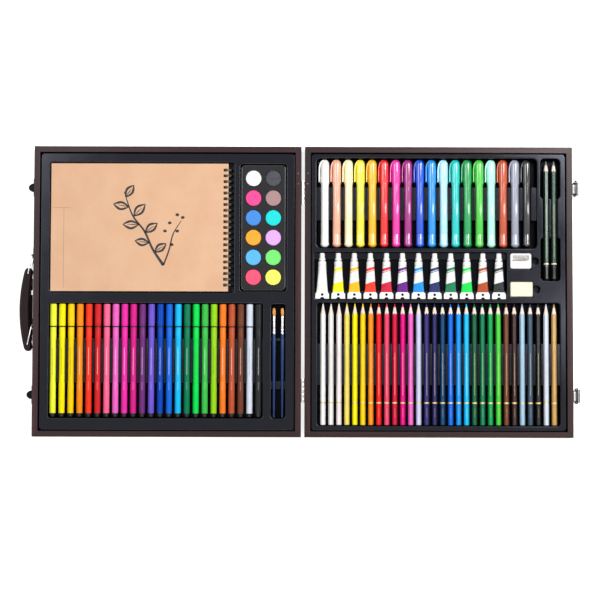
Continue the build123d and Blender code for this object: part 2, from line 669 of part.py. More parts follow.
def crayon_clip():
    """Pocket clip that springs out of the cap on its left side."""
    root = CRAYON_CAP_D / 2 - CLIP_T
    outline = [(-root, -CRAYON_DOME_L), (-CLIP_REACH, -CRAYON_DOME_L - CLIP_T), (-CLIP_REACH, -CLIP_L),
               (-CLIP_REACH + CLIP_T, -CLIP_L), (-CLIP_REACH + CLIP_T, -CRAYON_DOME_L - 3 * CLIP_T),
               (-root, -CRAYON_DOME_L - 3 * CLIP_T)]
    face = make_face(Polyline(*outline, close=True))
    return extrude(Pos(0, 0, -CLIP_W / 2) * face, CLIP_W)


def crayons():
    cap = turned([(0, CRAYON_DOME_D / 2), (CRAYON_DOME_L, CRAYON_CAP_D / 2),
                  (CRAYON_CAP_L, CRAYON_CAP_D / 2)])
    cap = (cap + crayon_clip()).solid()
    barrel_end = CRAYON_CAP_L + CRAYON_BARREL_L
    barrel = turned([(CRAYON_CAP_L, CRAYON_D / 2), (barrel_end, CRAYON_D / 2)])
    knob = turned([(barrel_end, CRAYON_D / 2), (crayon_l, CRAYON_KNOB_END_D / 2)])
    return row_of([barrel, cap, knob], crayon_axes, crayon_y, crayon_z)


def pencils(axes, y, length, cone):
    """Six-sided pencils, sharpened at the upper end."""
    radius = pencil_corners / 2
    one = turned([(0, LEAD_R), (cone, radius), (length, radius)], PENCIL_SIDES, spread=1)
    return row_of([one], axes, y, pencil_z)[0]


def tube_body():
    """A soft tube: round at the shoulder and pressed flat at the crimp."""
    body = flattened([
        (TUBE_CAP_L, TUBE_CAP_D / 2, TUBE_CAP_D / 2),
        (TUBE_CAP_L + TUBE_SHOULDER_L, TUBE_D / 2, TUBE_D / 2),
        (TUBE_L - TUBE_CRIMP_L, TUBE_FLAT_W / 2, TUBE_CRIMP_T / 2),
    ])
    corner = (TUBE_CRIMP_W - TUBE_FLAT_W) / 2
    start = TUBE_L - TUBE_CRIMP_L
    crimp = make_face(Polyline((-TUBE_FLAT_W / 2, -start), (-TUBE_CRIMP_W / 2, -start - corner),
                               (-TUBE_CRIMP_W / 2, -TUBE_L), (TUBE_CRIMP_W / 2, -TUBE_L),
                               (TUBE_CRIMP_W / 2, -start - corner), (TUBE_FLAT_W / 2, -start), close=True))
    crimp = extrude(Pos(0, 0, -TUBE_CRIMP_T / 2) * crimp, TUBE_CRIMP_T)
    return (body + crimp).solid()


def paint_tubes():
    collar_from = TUBE_CAP_L - TUBE_COLLAR_L
    cap = turned([(0, TUBE_CAP_D / 2), (collar_from, TUBE_CAP_D / 2), (TUBE_CAP_L, TUBE_COLLAR_D / 2)])
    return row_of([tube_body(), cap], tube_axes, tube_y, tube_z)


def sketchbook():
    """Cover, sheets, back board and the wire that binds them, by name."""
    left, right = book_x - BOOK_W / 2, spine_x
    low, high = book_y - BOOK_L / 2, book_y + BOOK_L / 2
    loops = [book_y + y for y in spaced(LOOP_COUNT, LOOP_PITCH)]
    holes = [block(right - HOLE_OUT, right - HOLE_IN, y - HOLE_L / 2, y + HOLE_L / 2, 0, HALF_H)
             for y in loops]
    layers = {}
    top = item_top
    for name, thick in (("cover", COVER_T), ("sheets", SHEETS_T), ("back", BACK_T)):
        layers[name] = (block(left, right, low, high, top - thick, top) - holes).solid()
        top -= thick
    strip = [(u * LOOP_STRIP_T / 2, v * LOOP_STRIP_W / 2) for u, v in ((1, 1), (-1, 1), (-1, -1), (1, -1))]
    turns = [2 * pi * i / LOOP_SIDES for i in range(LOOP_SIDES)]
    binding = []
    for y in loops:
        path = [Vector(spine_x + LOOP_R * cos(a), y, spine_z + LOOP_R * sin(a)) for a in turns]
        binding.append(bent(path, Vector(0, 1, 0), strip, closed=True))
    return layers, binding


def palette():
    """Moulded palette with a raised rim and round wells, and the cakes in them."""
    bottom = item_top - PALETTE_H
    face_z = item_top - PALETTE_RIM_H
    rect = (palette_x - PALETTE_W / 2, palette_x + PALETTE_W / 2,
            book_y - PALETTE_L / 2, book_y + PALETTE_L / 2)
    body = skin([ring(rect, PALETTE_R, bottom), ring(rect, PALETTE_R, item_top)])
    body -= skin([ring(rect, PALETTE_R, face_z, PALETTE_RIM), ring(rect, PALETTE_R, item_top, PALETTE_RIM)])
    places = [(palette_x + x, book_y + y) for x in spaced(PAN_COLUMNS, PAN_PITCH)
              for y in spaced(PAN_ROWS, PAN_PITCH)]
    well = RegularPolygon(PAN_D / 2, PAN_SIDES)
    cake = RegularPolygon(PAN_D / 2 - CAKE_GAP, PAN_SIDES)
    body -= [extrude(Pos(x, y, face_z - PAN_DEPTH) * well, PAN_DEPTH) for x, y in places]
    cakes = [extrude(Pos(x, y, face_z - PAN_DEPTH) * cake, CAKE_T) for x, y in places]
    return body.solid(), cakes


def sharpener():
    """Body with its conical bore and blade seat, the blade, and the blade's screw."""
    left, right = sharpener_x - SHARPENER_W / 2, sharpener_x + SHARPENER_W / 2
    rect = (left, right, sharpener_y - SHARPENER_L / 2, sharpener_y + SHARPENER_L / 2)
    body = skin([ring(rect, SHARPENER_R, item_top - SHARPENER_H), ring(rect, SHARPENER_R, item_top)])
    blade_y = rect[3] - SHARPENER_R - BLADE_L / 2
    seat_z = item_top - BLADE_SINK
    bore = turned([(0, CONE_BIG_D / 2), (SHARPENER_W, CONE_SMALL_D / 2)])
    body -= Pos(left, blade_y, seat_z - CONE_BIG_D / 2) * Rot(0, 0, 90) * bore
    seat = block(sharpener_x - BLADE_W / 2, sharpener_x + BLADE_W / 2, blade_y - BLADE_L / 2,
                 blade_y + BLADE_L / 2, seat_z, item_top)
    blade = block(sharpener_x - BLADE_W / 2 + BLADE_PLAY, sharpener_x + BLADE_W / 2 - BLADE_PLAY,
                  blade_y - BLADE_L / 2 + BLADE_PLAY, blade_y + BLADE_L / 2 - BLADE_PLAY,
                  seat_z, seat_z + BLADE_T)
    screw_at = Pos(sharpener_x + BLADE_W / 4, blade_y, seat_z + BLADE_T) * Rot(90, 0, 0)
    hole = screw_at * turned([(-BLADE_T, BLADE_SCREW_R), (BLADE_SCREW_L, BLADE_SCREW_R)])
    bolt = screw_at * turned([(-BLADE_T, BLADE_SCREW_HEAD_R), (0, BLADE_SCREW_HEAD_R), (0, BLADE_SCREW_R),
                              (BLADE_SCREW_L, BLADE_SCREW_R)])
    return (body - seat - hole).solid(), (blade - hole).solid(), bolt


def eraser():
    """Eraser with worn-off upper and upright edges."""
    whole = block(eraser_x - ERASER_W / 2, eraser_x + ERASER_W / 2, eraser_y - ERASER_L / 2,
                  eraser_y + ERASER_L / 2, item_top - ERASER_H, item_top)
    worn = whole.edges().group_by(Axis.Z)[-1] + whole.edges().filter_by(Axis.Z)
    return chamfer(worn, ERASER_R).solid()


# Fittings, outward along +X from the face that carries them
def outward(x, places, solid, left=False):
    """Copies at places along a board's face, pointing out of it to the right or the left."""
    turn = Rot(0, 0, 180) if left else Rot(0, 0, 0)
    return [Pos(x, y, z) * turn * solid for y, z in places]


wall = case_w / 2
handle_z = HALF_H / 2
wire_r = LINK_WIRE / 2 / cos(pi / WIRE_SIDES)
loop_r = LOOP_WIRE / 2 / cos(pi / WIRE_SIDES)
pivot_z = HALF_H - LATCH_PIVOT_DROP
catch_z = HALF_H - CATCH_TOP - CATCH_H / 2
bar_z = HALF_H - HOOK_DROP
bar_out = LATCH_PIVOT_OUT - LOOP_PIVOT_IN


# Hinges
def hinge_leaf(first):
    """A leaf with every other knuckle, to the left of the pin's axis at the origin."""
    knuckle_r = OPEN_GAP / 2 - KNUCKLE_CLEAR
    pitch = HINGE_L / KNUCKLES
    near, far = -OPEN_GAP / 2, -OPEN_GAP / 2 + LEAF_T
    leaf = block(near, far, -HINGE_L / 2, HINGE_L / 2, -LEAF_H, -KNUCKLE_CLEAR)
    knuckle = RegularPolygon(knuckle_r, KNUCKLE_SIDES) - eyelet(HINGE_PIN_R)
    places = spaced(KNUCKLES, pitch)
    half = (pitch - KNUCKLE_GAP) / 2
    own = [upright(knuckle, y - half, y + half) for y in places[first::2]]
    half = (pitch + KNUCKLE_GAP) / 2
    other = [block(near, far, y - half, y + half, -knuckle_r - KNUCKLE_CLEAR, 0)
             for y in places[1 - first::2]]
    return (leaf - other + own).solid()


def at_hinges(solid):
    """Both hinges, placed in the base half's frame."""
    return [Pos(hinge_x, y, axis_height) * solid for y in (-hinge_y, hinge_y)]


# Handle
def bracket():
    """Plate with a half-round bridge over the link's wire."""
    rect = (-BRACKET_L / 2, BRACKET_L / 2, -BRACKET_H / 2, BRACKET_H / 2)
    plate = Plane.YZ.location * skin([ring(rect, BRACKET_R, 0), ring(rect, BRACKET_R, BRACKET_T)])
    outer_r = wire_r + PIN_FIT + BRIDGE_WALL
    bridge = Pos(BRACKET_PIVOT_OUT, 0) * RegularPolygon(outer_r, KNUCKLE_SIDES)
    bridge += Pos(BRACKET_PIVOT_OUT / 2, 0) * Rectangle(BRACKET_PIVOT_OUT - BRACKET_T / 2, 2 * outer_r)
    bridge -= Pos(BRACKET_PIVOT_OUT, 0) * eyelet(wire_r)
    bridge = extrude(Pos(0, 0, -BRIDGE_W / 2) * bridge, BRIDGE_W)
    return (plate + bridge).solid()


def link():
    """Closed wire link from its pivot at the origin to its far pivot along -Y."""
    half = GRIP_H / 2 + LINK_PLAY + LINK_WIRE / 2
    corners = [(0, half - LINK_BEND), (LINK_BEND, half),
               (LINK_L - LINK_BEND, half), (LINK_L, half - LINK_BEND)]
    path = [Vector(0, -y, z) for y, z in corners] + [Vector(0, -y, -z) for y, z in corners[::-1]]
    return bent(path, Vector(1, 0, 0), round_wire(LINK_WIRE, WIRE_SIDES), closed=True)


def grip():
    """Crescent grip, outward along +X, about the middle between its two bores."""
    end_out = BRACKET_PIVOT_OUT + LINK_L * sin(radians(LINK_FOLD))
    half = BRACKET_SPACING / 2
    end = Vector(end_out, half)
    outer_mid = GRIP_REACH - GRIP_END_R
    inner_mid = end_out + GRIP_HOLLOW
    touch = []
    for mid, turn in ((outer_mid, 1), (inner_mid, -1)):
        centre = Vector((mid ** 2 - end_out ** 2 - half ** 2) / (2 * (mid - end_out)), 0)
        touch.append(end + (end - centre).normalized() * GRIP_END_R * turn)
    outer, inner = touch
    mirrored = [Vector(corner.X, -corner.Y) for corner in touch]
    plan = make_face(Curve() + [
        ThreePointArc(mirrored[0], (GRIP_REACH, 0), outer),
        ThreePointArc(outer, (end_out, half + GRIP_END_R), inner),
        ThreePointArc(inner, (inner_mid - GRIP_END_R, 0), mirrored[1]),
        ThreePointArc(mirrored[1], (end_out, -half - GRIP_END_R), mirrored[0]),
    ])
    body = extrude(Pos(0, 0, -GRIP_H / 2) * plan, GRIP_H)
    rims = body.edges().group_by(Axis.Z)
    body = chamfer(rims[0] + rims[-1], GRIP_EDGE)
    bore = extrude(Pos(0, 0, -GRIP_H / 2) * eyelet(wire_r), GRIP_H)
    return (body - [Pos(end_out, y, 0) * bore for y in (-half, half)]).solid()


# Latches and catches, outward along +X from the board's face
def latch_plate():
    """Base plate with two ears for the lever's pin."""
    plate = block(0, PLATE_T, -PLATE_W / 2, PLATE_W / 2, pivot_z - PLATE_BELOW, pivot_z + PLATE_ABOVE)
    ear = Pos(LATCH_PIVOT_OUT, pivot_z) * RegularPolygon(EAR_R, EAR_SIDES)
    ear += Pos((PLATE_T + LATCH_PIVOT_OUT) / 2, pivot_z) * Rectangle(LATCH_PIVOT_OUT - PLATE_T, 2 * EAR_R)
    ear -= Pos(LATCH_PIVOT_OUT, pivot_z) * eyelet(LATCH_PIN_R)
    ears = [upright(ear, PLATE_W / 2 - EAR_T, PLATE_W / 2), upright(ear, -PLATE_W / 2, -PLATE_W / 2 + EAR_T)]
    return (plate + ears).solid()


def lever():
    """Channel lever: a face and two flanges that straddle the ears."""
    face_in = LEVER_FACE_OUT - LEVER_T
    top = pivot_z + LEVER_HEEL
    foot = LEVER_FOOT
    front = make_face(Polyline(
        (face_in, top), (LEVER_FACE_OUT, top), (LEVER_FACE_OUT, foot + LEVER_LIP + LEVER_T),
        (LEVER_FACE_OUT + LEVER_LIP, foot + LEVER_T / 2), (LEVER_FACE_OUT + LEVER_LIP - LEVER_T / 2, foot),
        (face_in, foot + LEVER_LIP), close=True))
    heel_r = LATCH_PIVOT_OUT - PLATE_T - LEVER_HEEL_CLEAR
    near = LATCH_PIVOT_OUT - heel_r
    side = make_face(Polyline(
        (near, pivot_z), (near + LEVER_LIP / 2, pivot_z - LOOP_PIVOT_DROP - LOOP_WIRE),
        (face_in - LEVER_LIP, foot + 2 * LEVER_LIP), (face_in, foot + LEVER_LIP), (face_in, top), close=True))
    side += Pos(LATCH_PIVOT_OUT, pivot_z) * RegularPolygon(heel_r, EAR_SIDES)
    side -= Pos(LATCH_PIVOT_OUT, pivot_z) * eyelet(LATCH_PIN_R)
    side -= Pos(bar_out, pivot_z - LOOP_PIVOT_DROP) * eyelet(loop_r)
    flanges = [upright(side, LEVER_W / 2 - LEVER_T, LEVER_W / 2),
               upright(side, -LEVER_W / 2, -LEVER_W / 2 + LEVER_T)]
    return (upright(front, -LEVER_W / 2, LEVER_W / 2) + flanges).solid()


def loop():
    """Wire loop, with its toes in the lever and its bar beyond the lid's rim."""
    leg = LEVER_W / 2 + EAR_PLAY + LOOP_WIRE / 2
    toe = LEVER_W / 2 - LEVER_T
    toe_z = pivot_z - LOOP_PIVOT_DROP
    top = 2 * axis_height - bar_z
    half = [(toe, toe_z), (leg, toe_z), (leg, top - LOOP_BEND), (leg - LOOP_BEND, top)]
    path = [Vector(bar_out, y, z) for y, z in half] + [Vector(bar_out, -y, z) for y, z in half[::-1]]
    return bent(path, Vector(1, 0, 0), round_wire(LOOP_WIRE, WIRE_SIDES))


def catch():
    """Catch plate with a hook that opens away from the rim."""
    plate = block(0, PLATE_T, -CATCH_W / 2, CATCH_W / 2, catch_z - CATCH_H / 2, catch_z + CATCH_H / 2)
    under = bar_z + loop_r + HOOK_PLAY
    front = bar_out + loop_r + HOOK_ROOM
    tip = bar_z - HOOK_LIP
    hook = make_face(Polyline(
        (PLATE_T, under + HOOK_T), (front + HOOK_T / 2, under + HOOK_T), (front + HOOK_T, under + HOOK_T / 2),
        (HOOK_REACH, tip), (HOOK_REACH - HOOK_T, tip), (front, under), (PLATE_T, under), close=True))
    return (plate + upright(hook, -HOOK_W / 2, HOOK_W / 2)).solid()


def at_latches(solid, x, left=False):
    """One copy of a latch's piece at each latch."""
    return outward(x, [(-latch_y, 0), (latch_y, 0)], solid, left)


# Boards
names = {"base": {"left_board": "handle_board", "right_board": "hinge_board"},
         "lid": {"left_board": "hinge_board", "right_board": "latch_board"}}
for half, shift in (("base", 0), ("lid", lid_x)):
    for place, piece in half_boards().items():
        write(f"{half}_{names[half].get(place, place)}", [piece], shift)
write("base_tray", [base_tray()])
write("lid_tray", [lid_tray()], lid_x)

# Hinges
write("hinge_leaves_base", at_hinges(hinge_leaf(0)))
write("hinge_leaves_lid", at_hinges(Rot(0, 0, 180) * hinge_leaf(1)))
write("hinge_pins", at_hinges(pin(HINGE_PIN_R, HINGE_L)))

# Handle, folded towards the front
fold = Rot(0, 0, -LINK_FOLD)
for side, y in (("front", -BRACKET_SPACING / 2), ("back", BRACKET_SPACING / 2)):
    write(f"handle_bracket_{side}", outward(-wall, [(y, handle_z)], bracket(), left=True))
    write(f"handle_link_{side}", [Pos(-wall - BRACKET_PIVOT_OUT, y, handle_z) * fold * link()])
write("handle_grip", outward(-wall, [(-LINK_L * cos(radians(LINK_FOLD)), handle_z)], grip(), left=True))

# Latches and catches
write("latch_plates", at_latches(latch_plate(), wall), lid_x)
write("latch_pins", at_latches(Pos(LATCH_PIVOT_OUT, 0, pivot_z) * pin(LATCH_PIN_R, LEVER_W), wall), lid_x)
for piece, solid in (("lever", lever()), ("loop", loop())):
    for side, copy in zip(("front", "back"), at_latches(solid, wall)):
        write(f"latch_{piece}_{side}", [copy], lid_x)
write("catch_plates", at_latches(catch(), -wall, left=True))

# Contents of the base
layers, binding = sketchbook()
write("sketchbook_cover", [layers["cover"]])
write("sketchbook_sheets", [layers["sheets"]])
write("sketchbook_back_board", [layers["back"]])
write("sketchbook_wire", binding)
palette_body, cakes = palette()
write("palette", [palette_body])
write("paint_cakes", cakes)
for name, pieces in zip(("felt_pen_barrels", "felt_pen_caps", "felt_pen_plugs"), felt_pens()):
    write(name, pieces)
for name, pieces in zip(("brush_handles", "brush_ferrules", "brush_bristles"), brushes()):
    write(name, pieces)

# Contents of the lid
for name, pieces in zip(("crayon_barrels", "crayon_caps", "crayon_knobs"), crayons()):
    write(name, pieces, lid_x)
for name, pieces in zip(("tube_bodies", "tube_caps"), paint_tubes()):
    write(name, pieces, lid_x)
for name, piece in zip(("sharpener_body", "sharpener_blade", "sharpener_screw"), sharpener()):
    write(name, [piece], lid_x)
write("eraser", [eraser()], lid_x)
write("coloured_pencils", pencils(pencil_axes, pencil_y, PENCIL_L, PENCIL_CONE_L), lid_x)
write("drawing_pencils", pencils(drawing_axes, drawing_y, DRAWING_L, DRAWING_CONE_L), lid_x)
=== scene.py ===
"""Looks of the wooden art set box. Sizes are in millimetres until a mesh is made."""
import json
from math import acos, atan2, cos, hypot, pi, radians, sin, sqrt, tan

import bmesh
import bpy
from mathutils import Matrix, Vector
from mathutils.geometry import tessellate_polygon

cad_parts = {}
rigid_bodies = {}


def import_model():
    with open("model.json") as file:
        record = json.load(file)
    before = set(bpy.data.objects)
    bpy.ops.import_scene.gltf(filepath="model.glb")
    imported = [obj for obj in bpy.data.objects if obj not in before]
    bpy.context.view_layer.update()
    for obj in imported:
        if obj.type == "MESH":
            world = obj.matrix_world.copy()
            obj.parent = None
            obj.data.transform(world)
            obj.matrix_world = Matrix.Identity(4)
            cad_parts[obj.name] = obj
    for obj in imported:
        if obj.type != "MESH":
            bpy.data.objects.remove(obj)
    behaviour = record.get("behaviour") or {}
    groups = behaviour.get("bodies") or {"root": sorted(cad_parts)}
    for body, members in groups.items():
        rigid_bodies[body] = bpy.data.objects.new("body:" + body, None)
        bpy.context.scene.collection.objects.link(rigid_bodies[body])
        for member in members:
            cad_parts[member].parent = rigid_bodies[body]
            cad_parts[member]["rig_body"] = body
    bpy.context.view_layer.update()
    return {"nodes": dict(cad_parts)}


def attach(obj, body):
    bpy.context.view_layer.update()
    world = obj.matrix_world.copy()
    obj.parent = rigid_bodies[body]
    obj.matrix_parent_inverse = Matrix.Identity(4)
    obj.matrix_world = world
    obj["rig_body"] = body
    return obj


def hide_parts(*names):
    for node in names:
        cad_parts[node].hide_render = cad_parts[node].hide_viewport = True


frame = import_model()
nodes = frame["nodes"]
MM = 0.001

# Case and trays
HALF_H = 28.0
CASE_W = 392.243
CASE_L = 426.0
BOARD_T = 8.5
OPEN_GAP = 5.0
LID_X = CASE_W + OPEN_GAP
HINGE_X = LID_X / 2
AXIS_Z = HALF_H + 0.25
WALL = CASE_W / 2
TRAY_GAP = 1.2
TRAY_W = CASE_W - 2 * (BOARD_T + TRAY_GAP)
TRAY_L = CASE_L - 2 * (BOARD_T + TRAY_GAP)
TRAY_R = 5.5
TRAY_EDGE = 1.2
TRAY_T = 1.0
TRAY_FOOT = 3.0
FLANGE_Z = 24.5
FLOOR_Z = 4.0
ITEM_TOP = 24.0
POCKET_R = 4.0
POCKET_RIM = 1.6
SMALL_RIM = 0.9
POCKET_FILLET = 1.4
DRAFT = tan(radians(2))
SEAT_GAP = 0.25
POST_RISE = 1.5
TUBE_POCKET_DEPTH = 15.0

# Fittings: hinges and latches keep their distance from the case's ends, brackets from its middle
HINGE_Y = (68.0 - CASE_L / 2, CASE_L / 2 - 68.0)
LATCHES = (("front", 61.0 - CASE_L / 2), ("back", CASE_L / 2 - 61.0))
LATCH_Y = [y for _, y in LATCHES]
BRACKETS = (("front", -52.0), ("back", 52.0))
FITTING_Z = 14.0

# Pockets: left, right, front, back
BOOK_POCKET = (-172.72, 97.28, -1.8, 189.6)
GUTTER = (80.6, 95.9, -0.4, 188.2)
PALETTE_POCKET = (106.72, 174.12, 0.5, 187.3)
FELT_POCKET = (-172.82, 139.89, -185.4, -17.7)
BRUSH_POCKET = (152.32, 172.92, -185.4, -18.9)
CRAYON_POCKET = (-178.72, 144.84, 64.1, 196.5)
TUBE_POCKET = (-181.72, 99.93, -11.8, 58.3)
SHARPENER_POCKET = (104.23, 137.03, 33.4, 57.8)
ERASER_POCKET = (104.23, 138.93, -7.6, 15.9)
PENCIL_POCKET = (-177.31, 177.31, -195.8, -16.3)
WELL = (149.54, 178.62, 16.1, 196.5)
WELL_NARROW = (153.24, 174.92, 77.2, 140.5)
NOTCH_R = 5.4
NOTCH_OUT = 4.5


def spaced(count, pitch, middle=0.0):
    """Places of equal pieces about a middle."""
    return [middle + (i - (count - 1) / 2) * pitch for i in range(count)]


# Rows of pieces; a band is where its saddles start, from the top of the pieces, and their length
FELT_PITCH = 13.07
FELT_X = spaced(24, FELT_PITCH, -16.465)
FELT_Y, FELT_Z, FELT_R = -18.85, 19.15, 4.45
FELT_BAND = (50.1, 65.3)
BRUSH_PITCH = 12.1
BRUSH_X = spaced(2, BRUSH_PITCH, 162.62)
BRUSH_Y, BRUSH_Z = -24.1, 21.0
BRUSH_BANDS = ((44.0, 4.4, 3.0), (107.0, 11.8, 2.1))
CRAYON_PITCH = 17.48
CRAYON_X = [-166.72 + CRAYON_PITCH * i for i in range(18)]
CRAYON_Y, CRAYON_Z, CRAYON_R = 195.2, 17.4, 5.85
CRAYON_BAND = (40.7, 49.1)
TUBE_X = spaced(12, 23.55, -40.895)
TUBE_Y, TUBE_Z = 56.7, 20.9
PENCIL_PITCH = 11.66
PENCIL_X = spaced(30, PENCIL_PITCH)
PENCIL_Y, PENCIL_Z = -17.35, 20.5
PENCIL_BAND = (58.5, 60.8)
PENCIL_FLATS = 6.4
HEX_R = PENCIL_FLATS / sqrt(3)
DRAWING_PITCH, DRAWING_MIDDLE = 11.2, 164.08
DRAWING_X = spaced(2, DRAWING_PITCH, DRAWING_MIDDLE)
DRAWING_Y = 193.3
DRAWING_ROLL, DRAWING_SEED = 9, 7

# Ledges under the tubes: how far along a tube each ends, and its height
TUBE_SHOULDER_LEDGE, TUBE_CRIMP_LEDGE = (8.4, 15.85), (55.5, 20.0)

# Single pieces
BOOK_T = 9.0
PALETTE_H = 8.0
SHARPENER_X, SHARPENER_Y, SHARPENER_H = 120.63, 45.6, 12.0
BLADE_Y, BLADE_SCREW_X = 50.1, 5.5
ERASER_X, ERASER_Y, ERASER_H = 121.58, 4.15, 11.0

# Colours of the paints, pens and pencils
PAINT = {
    "white": "fbfbf8", "cream": "fffcc4", "lime": "f4fb3a", "lemon": "fff000", "golden": "ffd600",
    "amber": "ffc010", "mustard": "ffaa28", "orange": "ff9114", "tangerine": "ff7d23", "vermilion": "fb3a1e",
    "red": "ec1c20", "crimson": "d5232a", "carmine": "d00b3c", "peach": "ffb596", "salmon": "ff6a96",
    "rose": "eb466e", "coral": "ff5276", "orchid": "f068c8", "magenta": "ef2daa", "cerise": "db1e8c",
    "fuchsia": "e10082", "blossom": "ff4896", "mauve": "aa8787", "lilac": "e4acff", "plum": "6e2d78",
    "purple": "a0197e", "violet": "640a82", "iris": "7058d4", "navy": "0a2260", "cobalt": "0046b4",
    "royal": "0050d7", "blue": "0a69dc", "azure": "0a96eb", "cornflower": "428ce0", "sky": "14bef4",
    "ice": "b9f0ff", "aqua": "00dedc", "teal": "00cdc8", "sea": "00784f", "emerald": "00a04e",
    "bottle": "0c5a38", "green": "00e050", "leaf": "3cbe4b", "apple": "46cd3c", "grass": "96d714",
    "mint": "b4fcea", "meadow": "76e873", "sienna": "c84b1e", "clay": "be5532", "rust": "af4b1e",
    "brown": "6e3c28", "umber": "37201e", "silver": "d7dfee", "steel": "9ba2b4", "slate": "3c5064",
    "smoke": "41414b", "black": "17171a", "indigo": "23235a", "dusk": "322a6e", "petrol": "003c69",
    "pale_blue": "a5c8e1", "lavender": "cdd2f5", "straw": "f6e068", "gold": "c89b55", "ink": "141e23",
    "yellow": "ffff64", "canary": "fff13c", "coal": "252527", "pearl": "f2eeea", "shell": "fbeeee", "cloud": "5ab8f4",
}
FELT_COLOURS = ("lime lemon golden orange vermilion crimson salmon orchid magenta cerise plum iris cobalt blue "
                "sky sea green leaf grass tangerine clay brown silver coal").split()
CRAYON_COLOURS = ("white peach cream canary amber red magenta purple royal azure ice teal emerald apple mint "
                  "sienna steel black").split()
TUBE_COLOURS = "pearl lemon amber vermilion carmine violet azure navy sea green rust ink".split()
PENCIL_COLOURS = ("white pearl shell straw lemon golden orange red rose carmine fuchsia orchid lavender dusk "
                  "indigo petrol blue azure sky bottle sea emerald apple brown umber pale_blue slate black "
                  "silver gold").split()
CAKE_COLOURS = [("coral", "yellow"), ("cloud", "meadow"), ("mustard", "lilac"), ("cornflower", "aqua"),
                ("blossom", "mauve"), ("white", "smoke")]


def colour(text):
    """A screen colour, written as six hex digits, the way the shaders take it."""
    parts = [int(text[i:i + 2], 16) / 255 for i in (0, 2, 4)]
    return [c / 12.92 if c < 0.04 else ((c + 0.055) / 1.055) ** 2.4 for c in parts] + [1.0]


# ---------------------------------------------------------------- outlines and paths
def at(points, z):
    """Flat points lifted to one height."""
    return [Vector((p[0], p[1], z)) for p in points]


def arc(x, y, radius, angles):
    """Points of a circle at the angles."""
    return [Vector((x + radius * cos(a), y + radius * sin(a), 0)) for a in angles]


def quarter(steps):
    """Angles of a quarter turn."""
    return [pi / 2 * k / steps for k in range(steps + 1)]


def half_round(steps):
    """Angles of a half turn, from below to above."""
    return [-pi / 2 + pi * k / steps for k in range(steps + 1)]


def rounded(corners, radii, steps=5, closed=True):
    """Corners of an outline or path, each turned into an arc; radii is one radius or one for each corner."""
    out = []
    count = len(corners)
    if not isinstance(radii, list):
        radii = [radii] * count
    for i, (corner, radius) in enumerate(zip(corners, radii)):
        if not closed and i in (0, count - 1):
            out.append(corner.copy())
            continue
        back = (corners[i - 1] - corner).normalized()
        ahead = (corners[(i + 1) % count] - corner).normalized()
        half = back.angle(ahead) / 2
        centre = corner + (back + ahead).normalized() * radius / sin(half)
        start, end = corner + back * radius / tan(half) - centre, corner + ahead * radius / tan(half) - centre
        out += [centre + start.normalized().slerp(end.normalized(), k / steps) * radius
                for k in range(steps + 1)]
    return out


def box_outline(rect, radius=POCKET_R, steps=5):
    """A rounded rectangle, anticlockwise."""
    x0, x1, y0, y1 = rect
    return rounded([Vector((x1, y0, 0)), Vector((x1, y1, 0)), Vector((x0, y1, 0)), Vector((x0, y0, 0))],
                   radius, steps)


def disc_outline(x, y, radius, steps=24):
    return arc(x, y, radius, [2 * pi * i / steps for i in range(steps)])


def offset(outline, grow):
    """An anticlockwise outline moved outwards."""
    out = []
    for i, here in enumerate(outline):
        before = (here - outline[i - 1]).normalized()
        after = (outline[(i + 1) % len(outline)] - here).normalized()
        n1, n2 = Vector((before.y, -before.x, 0)), Vector((after.y, -after.x, 0))
        out.append(here + (n1 + n2) * grow / max(0.3, 1 + n1.dot(n2)))
    return out


def smooth_path(points, steps=8, closed=False):
    """A smooth curve through points."""
    points = [Vector(p) for p in points]
    count = len(points)
    out = []
    for i in range(count if closed else count - 1):
        if closed:
            a, b, c, d = (points[(i + k) % count] for k in (-1, 0, 1, 2))
        else:
            a, b, c, d = (points[min(max(i + k, 0), count - 1)] for k in (-1, 0, 1, 2))
        for k in range(steps):
            t = k / steps
            out.append(0.5 * (2 * b + (c - a) * t + (2 * a - 5 * b + 4 * c - d) * t ** 2
                              + (3 * b - a - 3 * c + d) * t ** 3))
    return out if closed else out + [points[-1]]


